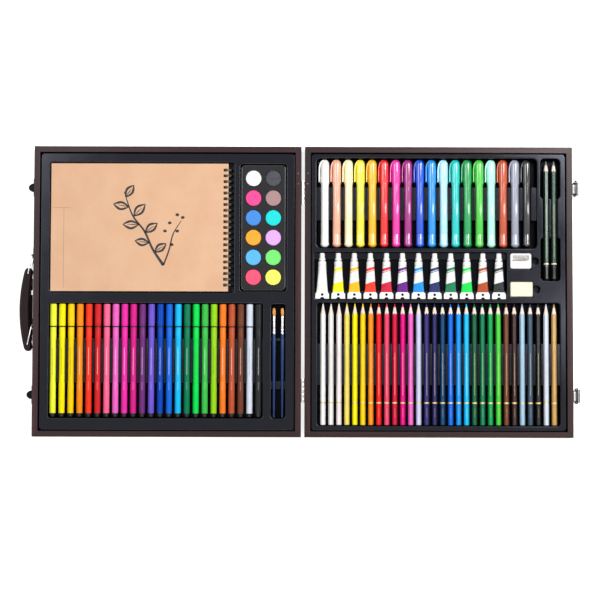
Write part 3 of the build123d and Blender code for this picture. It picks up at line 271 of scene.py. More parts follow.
# ---------------------------------------------------------------- forms
class Form:
    """Points of a piece and the faces between them."""

    def __init__(self):
        self.points, self.faces = [], []

    def skin(self, rings, ends=True, closed=False, flip=False):
        """Faces between rings of points; a ring of one point closes an end."""
        starts = []
        for ring in rings:
            starts.append(len(self.points))
            self.points += [Vector(p) for p in ring]
        count = max(len(ring) for ring in rings)
        pairs = [(i, i + 1) for i in range(len(rings) - 1)] + ([(len(rings) - 1, 0)] if closed else [])
        faces = []
        for a, b in pairs:
            for i in range(count):
                j = (i + 1) % count
                if len(rings[a]) == 1:
                    faces.append((starts[a], starts[b] + j, starts[b] + i))
                elif len(rings[b]) == 1:
                    faces.append((starts[a] + i, starts[a] + j, starts[b]))
                else:
                    faces.append((starts[a] + i, starts[a] + j, starts[b] + j, starts[b] + i))
        if ends and not closed:
            if len(rings[0]) > 1:
                faces.append(tuple(range(starts[0], starts[0] + count))[::-1])
            if len(rings[-1]) > 1:
                faces.append(tuple(range(starts[-1], starts[-1] + count)))
        self.faces += [face[::-1] for face in faces] if flip else faces
        return self

    def cover(self, outline, holes=(), up=True):
        """A flat area inside an outline, with holes."""
        loops = [outline, *holes]
        start = len(self.points)
        for loop in loops:
            self.points += [Vector(p) for p in loop]
        for triangle in tessellate_polygon(loops):
            a, b, c = (self.points[start + i] for i in triangle)
            facing_up = (b - a).cross(c - a).z > 0
            face = tuple(start + i for i in triangle)
            self.faces.append(face if facing_up == up else face[::-1])
        return self

    def add(self, other, matrix=None):
        """Another form's points and faces, moved."""
        start = len(self.points)
        self.points += [matrix @ p if matrix else p.copy() for p in other.points]
        self.faces += [tuple(start + i for i in face) for face in other.faces]
        return self

    def moved(self, *matrices):
        out = Form()
        matrix = Matrix.Identity(4)
        for m in matrices:
            matrix = matrix @ m
        return out.add(self, matrix)


def shift(x=0.0, y=0.0, z=0.0):
    return Matrix.Translation((x, y, z))


def turn(degrees, axis):
    return Matrix.Rotation(radians(degrees), 4, axis)


# An outline drawn in X and Y stood up: SIDEWAYS keeps X and makes Y height; ON_WALL makes X run
# along the wall and Y height
SIDEWAYS = Matrix(((1, 0, 0, 0), (0, 0, 1, 0), (0, 1, 0, 0), (0, 0, 0, 1)))
ON_WALL = Matrix(((0, 0, 1, 0), (1, 0, 0, 0), (0, 1, 0, 0), (0, 0, 0, 1)))


def turned(stations, sides=24, ribs=None):
    """A turned form along -Y; a station is a distance, a radius and maybe another height."""
    rings = []
    for along, radius, *height in stations:
        high = height[0] if height else radius
        if radius == 0:
            rings.append([(0, -along, 0)])
            continue
        ring = []
        for i in range(sides):
            a = 2 * pi * (i + 0.5) / sides
            dip = ribs[2] if ribs and ribs[0] < along < ribs[1] and i % ribs[3] == 0 else 0
            ring.append(((radius - dip) * cos(a), -along, (high - dip) * sin(a)))
        rings.append(ring)
    return Form().skin(rings)


def swept(path, section, closed=False, widths=None, up=None):
    """A section carried along a path without twist; widths scale it."""
    count = len(path)
    steps = [(path[(i + 1) % count] - path[i]).normalized() for i in range(count)]
    tangents = []
    for i in range(count):
        ahead = steps[i] if closed or i < count - 1 else steps[i - 1]
        behind = steps[i - 1] if closed or i > 0 else steps[i]
        tangents.append((ahead + behind).normalized())
    side = up.cross(tangents[0]) if up else tangents[0].orthogonal()
    rings = []
    for i, (point, along) in enumerate(zip(path, tangents)):
        side = up.cross(along) if up else side - along * side.dot(along)
        side.normalize()
        top = along.cross(side)
        scale = widths[i] if widths else 1
        rings.append([point + (side * u + top * v) * scale for u, v in section])
    return Form().skin(rings, closed=closed)


def circle(radius, sides=10):
    return [(radius * cos(2 * pi * i / sides), radius * sin(2 * pi * i / sides)) for i in range(sides)]


def plate(outline, z0, z1, edge=0.2, holes=()):
    """A flat plate with softened edges and holes."""
    form = Form()
    for loop, soft in [(outline, -edge)] + [(hole, edge) for hole in holes]:
        form.skin([at(offset(loop, soft), z0), at(loop, z0 + edge), at(loop, z1 - edge),
                   at(offset(loop, soft), z1)], ends=False)
    for z, up in ((z0, False), (z1, True)):
        form.cover(at(offset(outline, -edge), z), [at(offset(hole, edge), z) for hole in holes], up)
    return form


def flat(*points):
    return [Vector((x, y, 0)) for x, y in points]


# ---------------------------------------------------------------- pieces
def mesh_of(name, form, closed=True):
    mesh = bpy.data.meshes.new(name)
    mesh.from_pydata([p * MM for p in form.points], [], form.faces)
    bm = bmesh.new()
    bm.from_mesh(mesh)
    bmesh.ops.remove_doubles(bm, verts=bm.verts, dist=2e-6)
    if closed:
        bmesh.ops.recalc_face_normals(bm, faces=bm.faces)
    bm.to_mesh(mesh)
    bm.free()
    return mesh


def evaluated_mesh(thing):
    depsgraph = bpy.context.evaluated_depsgraph_get()
    depsgraph.update()
    return bpy.data.meshes.new_from_object(thing.evaluated_get(depsgraph), preserve_all_data_layers=True,
                                           depsgraph=depsgraph)


def linked(name, mesh):
    thing = bpy.data.objects.new(name, mesh)
    bpy.context.scene.collection.objects.link(thing)
    return thing


def modified(mesh, *modifiers):
    """The mesh as modifiers leave it; each is a kind and its settings."""
    thing = linked("blank", mesh)
    for kind, settings in modifiers:
        modifier = thing.modifiers.new(kind.lower(), kind)
        for key, value in settings.items():
            setattr(modifier, key, value)
    result = evaluated_mesh(thing)
    bpy.data.objects.remove(thing)
    return result


def shifted(mesh, x, y, z=0.0):
    """A mesh moved by millimetres."""
    mesh.transform(Matrix.Translation(Vector((x, y, z)) * MM))
    return mesh


def seat_on_node(thing, node, finish):
    """The piece gets its finish, rides with its node's body and stands for that node."""
    if not thing.data.materials:
        thing.data.materials.append(finish)
    thing.data.shade_smooth()
    thing.data.set_sharp_from_angle(angle=radians(38))
    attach(thing, nodes[node]["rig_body"])
    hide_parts(node)
    return thing


def piece(name, form, finish, node, closed=True, modifiers=()):
    """One finished piece from its form."""
    mesh = mesh_of(name, form, closed)
    if modifiers:
        mesh = modified(mesh, *modifiers)
    return seat_on_node(linked(name, mesh), node, finish)


def carved(form, *cutters):
    """A form's mesh with other forms cut out of it."""
    tools = [linked("cutter", mesh_of("cutter", cutter)) for cutter in cutters]
    mesh = modified(mesh_of("blank", form), *[
        ("BOOLEAN", {"operation": "DIFFERENCE", "solver": "EXACT", "object": tool}) for tool in tools])
    for tool in tools:
        bpy.data.objects.remove(tool)
    return mesh


def row_tree():
    """Geometry nodes that put one piece at each place and turn each a little about its length."""
    tree = bpy.data.node_groups.new("row_of_pieces", "GeometryNodeTree")
    for name, kind in (("Places", "Geometry"), ("Piece", "Object"), ("Finish", "Material"),
                       ("Roll", "Float"), ("Seed", "Int")):
        tree.interface.new_socket(name=name, in_out="INPUT", socket_type="NodeSocket" + kind)
    tree.interface.new_socket(name="Row", in_out="OUTPUT", socket_type="NodeSocketGeometry")
    new, join = tree.nodes.new, tree.links.new
    inputs, outputs = new("NodeGroupInput"), new("NodeGroupOutput")
    info, roll = new("GeometryNodeObjectInfo"), new("FunctionNodeRandomValue")
    least, angle = new("ShaderNodeMath"), new("ShaderNodeCombineXYZ")
    place, real, coat = (new("GeometryNode" + k) for k in ("InstanceOnPoints", "RealizeInstances", "SetMaterial"))
    least.operation = "MULTIPLY"
    least.inputs[1].default_value = -1.0
    join(inputs.outputs["Roll"], least.inputs[0])
    join(least.outputs[0], roll.inputs[2])
    join(inputs.outputs["Roll"], roll.inputs[3])
    join(inputs.outputs["Seed"], roll.inputs["Seed"])
    join(roll.outputs[1], angle.inputs["Y"])
    join(inputs.outputs["Piece"], info.inputs["Object"])
    join(inputs.outputs["Places"], place.inputs["Points"])
    join(info.outputs["Geometry"], place.inputs["Instance"])
    join(angle.outputs[0], place.inputs["Rotation"])
    join(place.outputs[0], real.inputs[0])
    join(real.outputs[0], coat.inputs["Geometry"])
    join(inputs.outputs["Finish"], coat.inputs["Material"])
    join(coat.outputs[0], outputs.inputs[0])
    return tree


row_of_pieces = row_tree()


def row(name, template, places, finish, node, tints=None, roll=0.0, seed=1):
    """The same piece at many places; each place may have its own tint."""
    mesh = template if isinstance(template, bpy.types.Mesh) else mesh_of(name, template)
    place = mesh.attributes.new("place", "FLOAT_VECTOR", "POINT")
    place.data.foreach_set("vector", [c / MM for v in mesh.vertices for c in v.co])
    model = linked("model", mesh)
    host = bpy.data.meshes.new("places")
    host.from_pydata([Vector(p) * MM for p in places], [], [])
    tint = host.attributes.new("tint", "FLOAT_COLOR", "POINT")
    shades = tints if tints else ["808080"] * len(places)
    tint.data.foreach_set("color", [c for text in shades for c in colour(text)])
    carrier = linked("carrier", host)
    modifier = carrier.modifiers.new("row", "NODES")
    modifier.node_group = row_of_pieces
    keys = {item.name: item.identifier for item in row_of_pieces.interface.items_tree if item.in_out == "INPUT"}
    for key, value in (("Piece", model), ("Finish", finish), ("Roll", radians(roll)), ("Seed", seed)):
        modifier[keys[key]] = value
    result = evaluated_mesh(carrier)
    for thing in (carrier, model):
        bpy.data.objects.remove(thing)
    result.name = name
    return seat_on_node(linked(name, result), node, finish)


# ---------------------------------------------------------------- finishes
class Recipe:
    """The nodes of one material."""

    def __init__(self, name, **settings):
        self.material = bpy.data.materials.new(name)
        self.material.use_nodes = True
        self.tree = self.material.node_tree
        self.shader = self.tree.nodes["Principled BSDF"]
        for key, value in settings.items():
            self.shader.inputs[key.replace("_", " ")].default_value = value

    def node(self, kind, inputs=None, output=0, **settings):
        made = self.tree.nodes.new("ShaderNode" + kind)
        for key, value in settings.items():
            setattr(made, key, value)
        for key, value in (inputs or {}).items():
            if isinstance(value, bpy.types.NodeSocket):
                self.tree.links.new(value, made.inputs[key])
            else:
                made.inputs[key].default_value = value
        return made.outputs[output]

    def use(self, key, value):
        self.tree.links.new(value, self.shader.inputs[key])

    def object_place(self, stretch=(1, 1, 1)):
        return self.node("Mapping", {"Vector": self.node("TexCoord", output="Object"), "Scale": stretch})

    def own_place(self):
        """Millimetres along and across one piece of a row."""
        return self.node("Attribute", output="Vector", attribute_name="place")

    def tint(self):
        return self.node("Attribute", output="Color", attribute_name="tint")

    def noise(self, scale, detail=2.0, stretch=(1, 1, 1)):
        return self.node("TexNoise", {"Vector": self.object_place(stretch), "Scale": scale, "Detail": detail})

    def scaled(self, value, low, high, to_low, to_high):
        return self.node("MapRange", {0: value, 1: low, 2: high, 3: to_low, 4: to_high})

    def sum(self, operation, a, b):
        return self.node("Math", {0: a, 1: b}, operation=operation)

    def between(self, value, low, high):
        """One inside a range, else nought."""
        return self.sum("MULTIPLY", self.sum("GREATER_THAN", value, low), self.sum("LESS_THAN", value, high))

    def mix(self, share, a, b, blend="MIX"):
        return self.node("Mix", {0: share, 6: a, 7: b}, output=2, data_type="RGBA", blend_type=blend)

    def varied(self, base, share, amount=0.1):
        """A colour made lighter and darker by a share."""
        value = self.scaled(share, 0.3, 0.7, 1 - amount, 1 + amount)
        return self.node("HueSaturation", {"Value": value, "Color": base})

    def bump(self, height, distance, strength=0.5):
        self.use("Normal", self.node("Bump", {"Height": height, "Strength": strength, "Distance": distance * MM}))


def moulded(name, base=None, rough=(0.25, 0.4), variation=0.06, grain=0.04, **settings):
    """Moulded plastic or paint: slight flow marks, fine orange peel, uneven gloss."""
    r = Recipe(name, **settings)
    r.use("Base Color", r.varied(colour(base) if base else r.tint(), r.noise(90, 3), variation))
    r.use("Roughness", r.scaled(r.noise(60, 4), 0.3, 0.7, *rough))
    r.bump(r.noise(1400, 2), grain)
    return r


def tray_plastic():
    """Black vacuum-formed sheet: glossy on top, duller down in the pockets, with scuffs and a slight ripple."""
    r = Recipe("tray_plastic", IOR=1.6, Specular_Tint=colour("e6eaff"))
    r.use("Base Color", r.mix(r.noise(40, 3), colour("050507"), colour("0a0a0d")))
    scuffs = r.node("TexNoise", {"Vector": r.object_place((1, 14, 1)), "Scale": 300.0, "Detail": 4.0})
    haze = r.sum("ADD", r.scaled(r.noise(22, 4), 0.3, 0.7, 0.0, 0.06), r.scaled(scuffs, 0.55, 0.8, 0.0, 0.1))
    r.use("Roughness", r.sum("ADD", haze, 0.12))
    high = r.node("SeparateXYZ", {0: r.node("TexCoord", output="Object")}, output=2)
    r.use("Specular IOR Level", r.scaled(high, 0.008, 0.019, 0.04, 0.25))
    ripple = r.sum("ADD", r.noise(26, 1), r.scaled(r.noise(900, 2), 0, 1, 0, 0.12))
    r.bump(ripple, 0.35, 0.35)
    return r.material


def wood_wrap(name, along):
    """Dark reddish-brown woodgrain wrap, with its grain along one axis."""
    long = [1, 1, 1]
    long[along] = 0.035
    short = list(long)
    short[along] = 0.012
    r = Recipe(name, Specular_IOR_Level=0.25)
    waves = r.noise(75, 5, tuple(long))
    pores = r.noise(950, 2, tuple(short))
    grain = r.node("ValToRGB", {"Fac": waves})
    ramp = grain.node.color_ramp
    ramp.elements[0].position, ramp.elements[0].color = 0.32, colour("1d0e10")
    ramp.elements[1].position, ramp.elements[1].color = 0.72, colour("472b2e")
    middle = ramp.elements.new(0.52)
    middle.color = colour("2f191b")
    dark = r.scaled(pores, 0.52, 0.66, 0.0, 0.55)
    r.use("Base Color", r.mix(dark, grain, colour("140c0d")))
    r.use("Roughness", r.scaled(waves, 0.3, 0.7, 0.42, 0.3))
    r.bump(r.sum("SUBTRACT", r.scaled(waves, 0.3, 0.7, 0, 0.35), pores), 0.12, 0.5)
    return r.material


def kraft_card(name, base, fleck):
    """Brown card with fibres, flecks and cloudy tone."""
    r = Recipe(name, Roughness=0.9)
    clouds = r.noise(28, 5)
    fibres = r.noise(700, 4, (1, 5, 1))
    flecks = r.node("TexVoronoi", {"Vector": r.object_place(), "Scale": 420.0})
    base_shade = r.mix(r.scaled(clouds, 0.3, 0.7, 0, 1), colour(base), colour(fleck))
    fleck_share = r.scaled(flecks, 0.06, 0.14, 0.5, 0.0)
    r.use("Base Color", r.varied(r.mix(fleck_share, base_shade, colour("b08560")), fibres, 0.05))
    r.use("Roughness", r.scaled(fibres, 0.3, 0.7, 0.78, 0.95))
    r.bump(fibres, 0.06, 0.5)
    return r.material


def paper_block():
    """White sheets: their edges show as fine lines."""
    r = Recipe("paper_block")
    lines = r.node("TexWave", {"Vector": r.object_place(), "Scale": 420.0}, bands_direction="Z", output=1)
    high = r.node("SeparateXYZ", {0: r.node("TexCoord", output="Object")}, output=2)
    edge = r.sum("MULTIPLY", r.sum("LESS_THAN", high, 0.0228), r.scaled(lines, 0.2, 0.8, 0.9, 0))
    r.use("Base Color", r.varied(r.mix(edge, colour("f7f5ee"), colour("cfcabd")), r.noise(40, 4), 0.015))
    r.use("Roughness", r.scaled(r.noise(300, 2), 0.3, 0.7, 0.8, 0.95))
    r.bump(r.sum("SUBTRACT", r.noise(900, 3), edge), 0.06, 0.5)
    return r.material


def metal(name, base, rough=(0.16, 0.3), brushed=(1, 1, 1), shine=1.0, marks=0.02):
    """Plated or bare metal with fine brushing and clouded gloss."""
    r = Recipe(name, Metallic=shine)
    streaks = r.noise(800, 3, brushed)
    r.use("Base Color", r.varied(colour(base), streaks, 0.08))
    r.use("Roughness", r.scaled(streaks, 0.3, 0.7, *rough))
    r.bump(streaks, marks, 0.4)
    return r.material


def leatherette():
    """Embossed dark brown leatherette with darker creases."""
    r = Recipe("leatherette", Specular_IOR_Level=0.12)
    cells = r.node("TexVoronoi", {"Vector": r.object_place(), "Scale": 620.0}, feature="DISTANCE_TO_EDGE")
    creases = r.scaled(cells, 0.0, 0.16, 1.0, 0.0)
    tone = r.mix(r.noise(45, 4), colour("1d1113"), colour("29181b"))
    r.use("Base Color", r.mix(r.sum("MULTIPLY", creases, 0.55), tone, colour("120c0d")))
    r.use("Roughness", r.scaled(r.noise(90, 3), 0.3, 0.7, 0.45, 0.62))
    r.bump(cells, 0.25, 0.7)
    return r.material


def ruled(r, spans, half_width, pale, dark):
    """Fine ticked rules along the top of a piece: pale on dark colours, dark on light ones."""
    x, y, z = (r.node("SeparateXYZ", {0: r.own_place()}, output=i) for i in range(3))
    line = r.sum("MULTIPLY", r.between(x, -half_width, half_width), r.sum("GREATER_THAN", z, 0))
    ticks = r.sum("GREATER_THAN", r.sum("PINGPONG", y, 0.9), 0.25)
    line = r.sum("MULTIPLY", line, ticks)
    reach = r.between(y, *spans[0])
    for span in spans[1:]:
        reach = r.sum("MAXIMUM", reach, r.sum("MULTIPLY", r.between(y, *span), 0.45))
    light = r.sum("GREATER_THAN", r.node("RGBToBW", {0: r.tint()}), 0.5)
    ink = r.mix(light, colour(pale), colour(dark))
    plain = r.shader.inputs["Base Color"].links[0].from_socket
    r.use("Base Color", r.mix(r.sum("MULTIPLY", r.sum("MULTIPLY", line, reach), 0.75), plain, ink))
    return r.material


def tube_label():
    """White tube lacquer with plain colour fields: two slanting stripes and a swatch."""
    r = Recipe("tube_label", Roughness=0.32, IOR=1.46)
    x, y, z = (r.node("SeparateXYZ", {0: r.own_place()}, output=i) for i in range(3))
    slant = r.sum("ADD", y, r.sum("MULTIPLY", x, -0.3))
    swatch = r.sum("MULTIPLY", r.sum("LESS_THAN", slant, -43.2), r.sum("GREATER_THAN", y, -57.2))
    band = r.sum("MAXIMUM", r.between(slant, -25.4, -21.4), r.between(slant, -27.6, -26.4))
    ring = r.between(y, -18.2, -17.6)
    field = r.sum("MULTIPLY", r.sum("MAXIMUM", swatch, band), r.sum("GREATER_THAN", z, -0.4))
    lacquer = r.varied(r.mix(ring, colour("f6f6f5"), colour("b9bcc2")), r.noise(60, 3), 0.03)
    r.use("Base Color", r.mix(field, lacquer, r.tint()))
    r.use("Roughness", r.scaled(r.noise(140, 3), 0.3, 0.7, 0.26, 0.42))
    r.bump(r.noise(160, 3), 0.25, 0.35)
    return r.material


def pressed_paint():
    """Pressed watercolour: matt, chalky, with fine pits."""
    r = Recipe("pressed_paint")
    pits = r.noise(1500, 4)
    r.use("Base Color", r.varied(r.tint(), pits, 0.05))
    r.use("Roughness", r.scaled(r.noise(200, 3), 0.3, 0.7, 0.62, 0.85))
    r.bump(pits, 0.1, 0.5)
    return r.material


def sharpened_wood(name, base):
    """Pencil wood shaved to a cone: grain along the pencil, cutter marks around it."""
    r = Recipe(name, Roughness=0.7)
    grain = r.noise(1500, 3, (1, 0.08, 1))
    r.use("Base Color", r.varied(r.mix(grain, colour(base), colour("fdf0e6")), r.noise(300, 2), 0.06))
    r.use("Roughness", r.scaled(grain, 0.3, 0.7, 0.6, 0.8))
    r.bump(r.noise(2200, 2, (0.3, 1, 0.3)), 0.05, 0.5)
    return r.material


def hair_bristle():
    """Amber hair, darker towards the ferrule."""
    r = Recipe("hair_bristle", Roughness=0.4)
    strands = r.noise(3000, 2, (1, 0.05, 1))
    depth = r.scaled(r.node("SeparateXYZ", {0: r.own_place()}, output=1), -11, 0, 0, 1)
    r.use("Base Color", r.varied(r.mix(depth, colour("c97e22"), colour("f2a83c")), strands, 0.25))
    r.use("Roughness", r.scaled(strands, 0.3, 0.7, 0.3, 0.5))
    r.bump(strands, 0.08, 0.6)
    return r.material


TRAY = tray_plastic()
WOOD_X, WOOD_Y = wood_wrap("wood_wrap_across", 0), wood_wrap("wood_wrap_along", 1)
KRAFT = kraft_card("kraft_card", "e6ba97", "dfb08c")
GREY_BOARD = kraft_card("grey_board", "b3a48f", "a89984")
PAPER = paper_block()
CHROME = metal("bright_nickel", "dddddc", (0.05, 0.14))
STEEL = metal("ground_steel", "8a8684", (0.2, 0.3), (0.05, 1, 1), marks=0.002)
DARK_METAL = metal("dark_plated_steel", "3a3736", (0.24, 0.38))
# Near-black steel for the latch base plates and the catch plates: painted shade, standing in for the dark inside the
# latches and behind the catch hooks.
SHADE_BLACK_METAL = metal("steel_black_for_shade", "161515", (0.3, 0.42))
LATCH_METAL = metal("latch_nickel", "7f7e7c", (0.06, 0.16))
BINDING = metal("binding_wire", "7f776c", (0.2, 0.34))
ALUMINIUM = metal("spun_aluminium", "c4c4c8", (0.24, 0.32), (0.2, 1, 0.2), marks=0.004)
GOLD_FOIL = metal("gold_foil", "e8cf8a", (0.25, 0.4), shine=0.4)
LEATHER = leatherette()
PEN_BARREL = ruled(moulded("pen_barrel_plastic", rough=(0.3, 0.42), variation=0.05, Specular_IOR_Level=0.16),
                   [(-103.5, -64), (-125.5, -114)], 0.36, "f4f4f4", "6b6420")
PEN_CAP = moulded("pen_cap_plastic", rough=(0.28, 0.4), Specular_IOR_Level=0.16).material
PEN_PLUG = moulded("pen_plug_plastic", "151517", (0.35, 0.5), Specular_IOR_Level=0.3).material
CRAYON = moulded("crayon_plastic", rough=(0.1, 0.2), variation=0.04, grain=0.02, Coat_Weight=1.0,
                 Coat_Roughness=0.05).material
PALETTE = moulded("palette_plastic", "08080f", (0.1, 0.18), Specular_IOR_Level=0.4, Coat_Weight=0.15,
                  Coat_Roughness=0.06).material
PRESSED = pressed_paint()
LABEL = tube_label()
TUBE_CAP = moulded("tube_cap_plastic", "f4f4f3", (0.28, 0.4), 0.03).material
PENCIL_PAINT = ruled(moulded("pencil_lacquer", rough=(0.16, 0.28), variation=0.05, Specular_IOR_Level=0.35,
                             Coat_Weight=0.15),
                     [(-134, -72), (-166, -153)], 0.3, "e9d6a0", "c9a24e")
PENCIL_LEAD = moulded("pencil_lead", rough=(0.5, 0.65), variation=0.1, grain=0.08).material
CEDAR = sharpened_wood("sharpened_cedar", "f2d3c0")
DRAWING_PAINT = ruled(moulded("green_lacquer", "0d3426", (0.22, 0.34)), [(-142, -64)], 0.35,
                      "d9c48a", "d9c48a")
DRAWING_BAND = moulded("cream_lacquer", "efe2c8", (0.2, 0.32)).material
DRAWING_END = moulded("black_lacquer", "121214", (0.16, 0.28), Coat_Weight=0.4).material
GRAPHITE = moulded("graphite", "8c8c90", (0.3, 0.45), Metallic=0.4).material
HANDLE_PAINT = moulded("navy_lacquer", "0d2d62", (0.16, 0.26), 0.06, Specular_IOR_Level=0.35).material
BRISTLE = hair_bristle()
SHARPENER = moulded("white_plastic", "f3f4f4", (0.24, 0.36), 0.03).material
RUBBER = moulded("soft_rubber", "f6f1d2", (0.7, 0.88), 0.05, 0.12).material
INK = moulded("printing_ink", "18151c", (0.55, 0.7)).material


# ---------------------------------------------------------------- trays
def pocket_rings(outline, floor, rim):
    """Rings of a pocket, from the flat of the tray over its rolled rim down to its floor."""
    fillet = min(POCKET_FILLET, (FLANGE_Z - floor) * 0.3)
    rings = [at(offset(outline, rim + 0.3), FLANGE_Z)]
    for a in quarter(5):
        rings.append(at(offset(outline, rim * (1 - sin(a))), FLANGE_Z - rim * (1 - cos(a))))
    depth = FLANGE_Z - floor
    inset = DRAFT * (depth - fillet)
    for a in quarter(3):
        rings.append(at(offset(outline, -inset - fillet * (1 - cos(a))), floor + fillet * (1 - sin(a))))
    rings.append(at(offset(outline, -inset - fillet * 1.2), floor))
    return rings


def tray_sheet(pockets):
    """The formed sheet: flange, skirt and pockets; a pocket is an outline, a floor, a rim and maybe a sink."""
    form = Form()
    rect = (-TRAY_W / 2, TRAY_W / 2, -TRAY_L / 2, TRAY_L / 2)
    edge = box_outline(rect, TRAY_R, 7)
    skirt = [at(offset(edge, -TRAY_EDGE - 0.3), FLANGE_Z)]
    for a in quarter(4):
        skirt.append(at(offset(edge, -TRAY_EDGE * (1 - sin(a))), FLANGE_Z - TRAY_EDGE * (1 - cos(a))))
    skirt.append(at(edge, TRAY_FOOT))
    form.skin(skirt, ends=False, flip=True)
    mouths = []
    for outline, floor, rim, *sink in pockets:
        rings = pocket_rings(outline, floor, rim)
        mouths.append(rings[0])
        form.skin(rings, ends=False)
        if sink:
            lower, depth = sink
            steps = [at(offset(lower, 1.1), floor)]
            for a in quarter(3):
                steps.append(at(offset(lower, 0.8 * (1 - sin(a))), floor - 0.8 * (1 - cos(a))))
            steps.append(at(offset(lower, -0.2), depth + 0.6))
            steps.append(at(offset(lower, -0.8), depth))
            form.skin(steps, ends=False)
            form.cover(rings[-1], [steps[0]])
            form.cover(steps[-1])
        else:
            form.cover(rings[-1])
    form.cover(skirt[0], mouths)
    return form


def bump_form(outline, foot, top, roll=0.8):
    """A raised pad with steep sides and a rolled edge."""
    slope = DRAFT * (top - foot)
    rings = [at(offset(outline, slope), foot)]
    for a in quarter(3):
        rings.append(at(offset(outline, -roll * (1 - cos(a))), top - roll * (1 - sin(a))))
    rings.append(at(offset(outline, -roll - 0.2), top))
    form = Form().skin(rings, ends=False)
    return form.cover(rings[-1]).cover(rings[0], up=False)


def cradle(rect, y0, y1, axes, axis_z, radius):
    """The raised seat under a row of pieces: a groove for each of them."""
    reach = radius + SEAT_GAP
    line = [(rect[0] - 0.4, axis_z - radius * 0.4)]
    for axis in axes:
        for k in range(9):
            a = radians(-64 + 16 * k)
            line.append((axis + reach * sin(a), axis_z - reach * cos(a)))
    line.append((rect[1] + 0.4, axis_z - radius * 0.4))
    closed = line + [(rect[1] + 0.4, FLOOR_Z - 0.5), (rect[0] - 0.4, FLOOR_Z - 0.5)]
    rings = []
    for y, drop in ((y0 - 0.5, 6.0), (y0, 1.0), (y0 + 0.8, 0.0), (y1 - 0.8, 0.0), (y1, 1.0), (y1 + 0.5, 6.0)):
        rings.append([(x, y, max(z - drop, FLOOR_Z - 0.5)) for x, z in closed])
    return Form().skin(rings)


def saddles(name, node, rect, y0, y1, axes, axis_z, radius, pitch, x=0.0):
    """A band of saddles: the seat under the row, a post in each gap and one at each side."""
    reach = radius + SEAT_GAP
    top = axis_z + POST_RISE
    half = (pitch - 2 * reach) / 2
    post = bump_form(box_outline((-half, half, y0, y1), min(1.3, half * 0.6), 4), FLOOR_Z - 0.5, top,
                     min(0.9, half * 0.5))
    gaps = [(a + pitch / 2 + x, 0, 0) for a in axes[:-1]]
    row(name + "_posts", post, gaps, TRAY, node)
    seat = cradle(rect, y0, y1, axes, axis_z, radius)
    for left, right in ((rect[0] - 0.5, axes[0] - reach), (axes[-1] + reach, rect[1] + 0.5)):
        seat.add(bump_form(box_outline((left, right, y0, y1), min(1.5, (right - left) * 0.4), 4),
                           FLOOR_Z - 0.5, top, 0.7))
    piece(name + "_seat", seat.moved(shift(x)), TRAY, node)


def ledge(rect, height, x):
    """A raised floor across the whole width of a pocket."""
    return bump_form(box_outline(rect, 1.2, 3), FLOOR_Z - 0.5, height, 0.8).moved(shift(x))


def notched(rect, y):
    """A small pocket with a round finger notch in its right side."""
    x0, x1, y0, y1 = rect
    centre = x1 + NOTCH_OUT
    open_half = acos(-NOTCH_OUT / NOTCH_R)
    corners = flat((x1, y0), (x1, y1), (x0, y1), (x0, y0))
    whole = rounded(corners, 3.0)
    lower, rest = whole[:6], whole[6:]
    bulge = arc(centre, y, NOTCH_R, [open_half * (k / 9 - 1) for k in range(1, 18)])
    return lower + bulge + rest


SOLID_SHEET = ("SOLIDIFY", {"thickness": TRAY_T * MM, "offset": -1.0, "use_even_offset": False,
                            "use_quality_normals": True})

book_floor = ITEM_TOP - BOOK_T - SEAT_GAP
base_pockets = [
    (box_outline(BOOK_POCKET), book_floor, POCKET_RIM, box_outline(GUTTER, 3.0), 12.6),
    (box_outline(PALETTE_POCKET), ITEM_TOP - PALETTE_H - SEAT_GAP, POCKET_RIM),
    (box_outline(FELT_POCKET), FLOOR_Z, POCKET_RIM),
    (box_outline(BRUSH_POCKET), FLOOR_Z, POCKET_RIM),
]
piece("base_tray_sheet", tray_sheet(base_pockets), TRAY, "base_tray", closed=False,
      modifiers=[SOLID_SHEET])
felt_rest = FELT_Y - FELT_BAND[0]
saddles("felt_pen_saddle", "base_tray", FELT_POCKET, felt_rest - FELT_BAND[1], felt_rest, FELT_X, FELT_Z, FELT_R,
        FELT_PITCH)
for i, (start, length, radius) in enumerate(BRUSH_BANDS):
    saddles(f"brush_saddle_{i + 1}", "base_tray", BRUSH_POCKET, BRUSH_Y - start - length, BRUSH_Y - start,
            BRUSH_X, BRUSH_Z, radius, BRUSH_PITCH)

wx0, wx1, wy0, wy1 = WELL
nx0, nx1, ny0, ny1 = WELL_NARROW
well_outline = rounded(flat((wx1, wy0), (wx1, ny0), (nx1, ny0 + 3.7), (nx1, ny1 - 3.7), (wx1, ny1), (wx1, wy1),
                            (wx0, wy1), (wx0, ny1), (nx0, ny1 - 3.7), (nx0, ny0 + 3.7), (wx0, ny0), (wx0, wy0)),
                       [6.5, 3, 3, 3, 3, 6.5, 6.5, 3, 3, 3, 3, 6.5], 5)
lid_pockets = [
    (box_outline(CRAYON_POCKET, 7.0, 8), FLOOR_Z, POCKET_RIM),
    (box_outline((130.3, 131.9, 198.9, 201.3), 0.6, 3), FLANGE_Z - 1.0, 0.25),
    (well_outline, FLOOR_Z, SMALL_RIM),
    (box_outline(TUBE_POCKET), FLANGE_Z - TUBE_POCKET_DEPTH, POCKET_RIM),
    (notched(SHARPENER_POCKET, SHARPENER_Y), ITEM_TOP - SHARPENER_H - SEAT_GAP, SMALL_RIM),
    (notched(ERASER_POCKET, ERASER_Y), ITEM_TOP - ERASER_H - SEAT_GAP, SMALL_RIM),
    (box_outline(PENCIL_POCKET), FLOOR_Z, POCKET_RIM),
]
piece("lid_tray_sheet", tray_sheet(lid_pockets).moved(shift(LID_X)), TRAY, "lid_tray", closed=False,
      modifiers=[SOLID_SHEET])
crayon_rest = CRAYON_Y - CRAYON_BAND[0]
saddles("crayon_saddle", "lid_tray", CRAYON_POCKET, crayon_rest - CRAYON_BAND[1], crayon_rest, CRAYON_X, CRAYON_Z,
        CRAYON_R, CRAYON_PITCH, LID_X)
pencil_rest = PENCIL_Y - PENCIL_BAND[0]
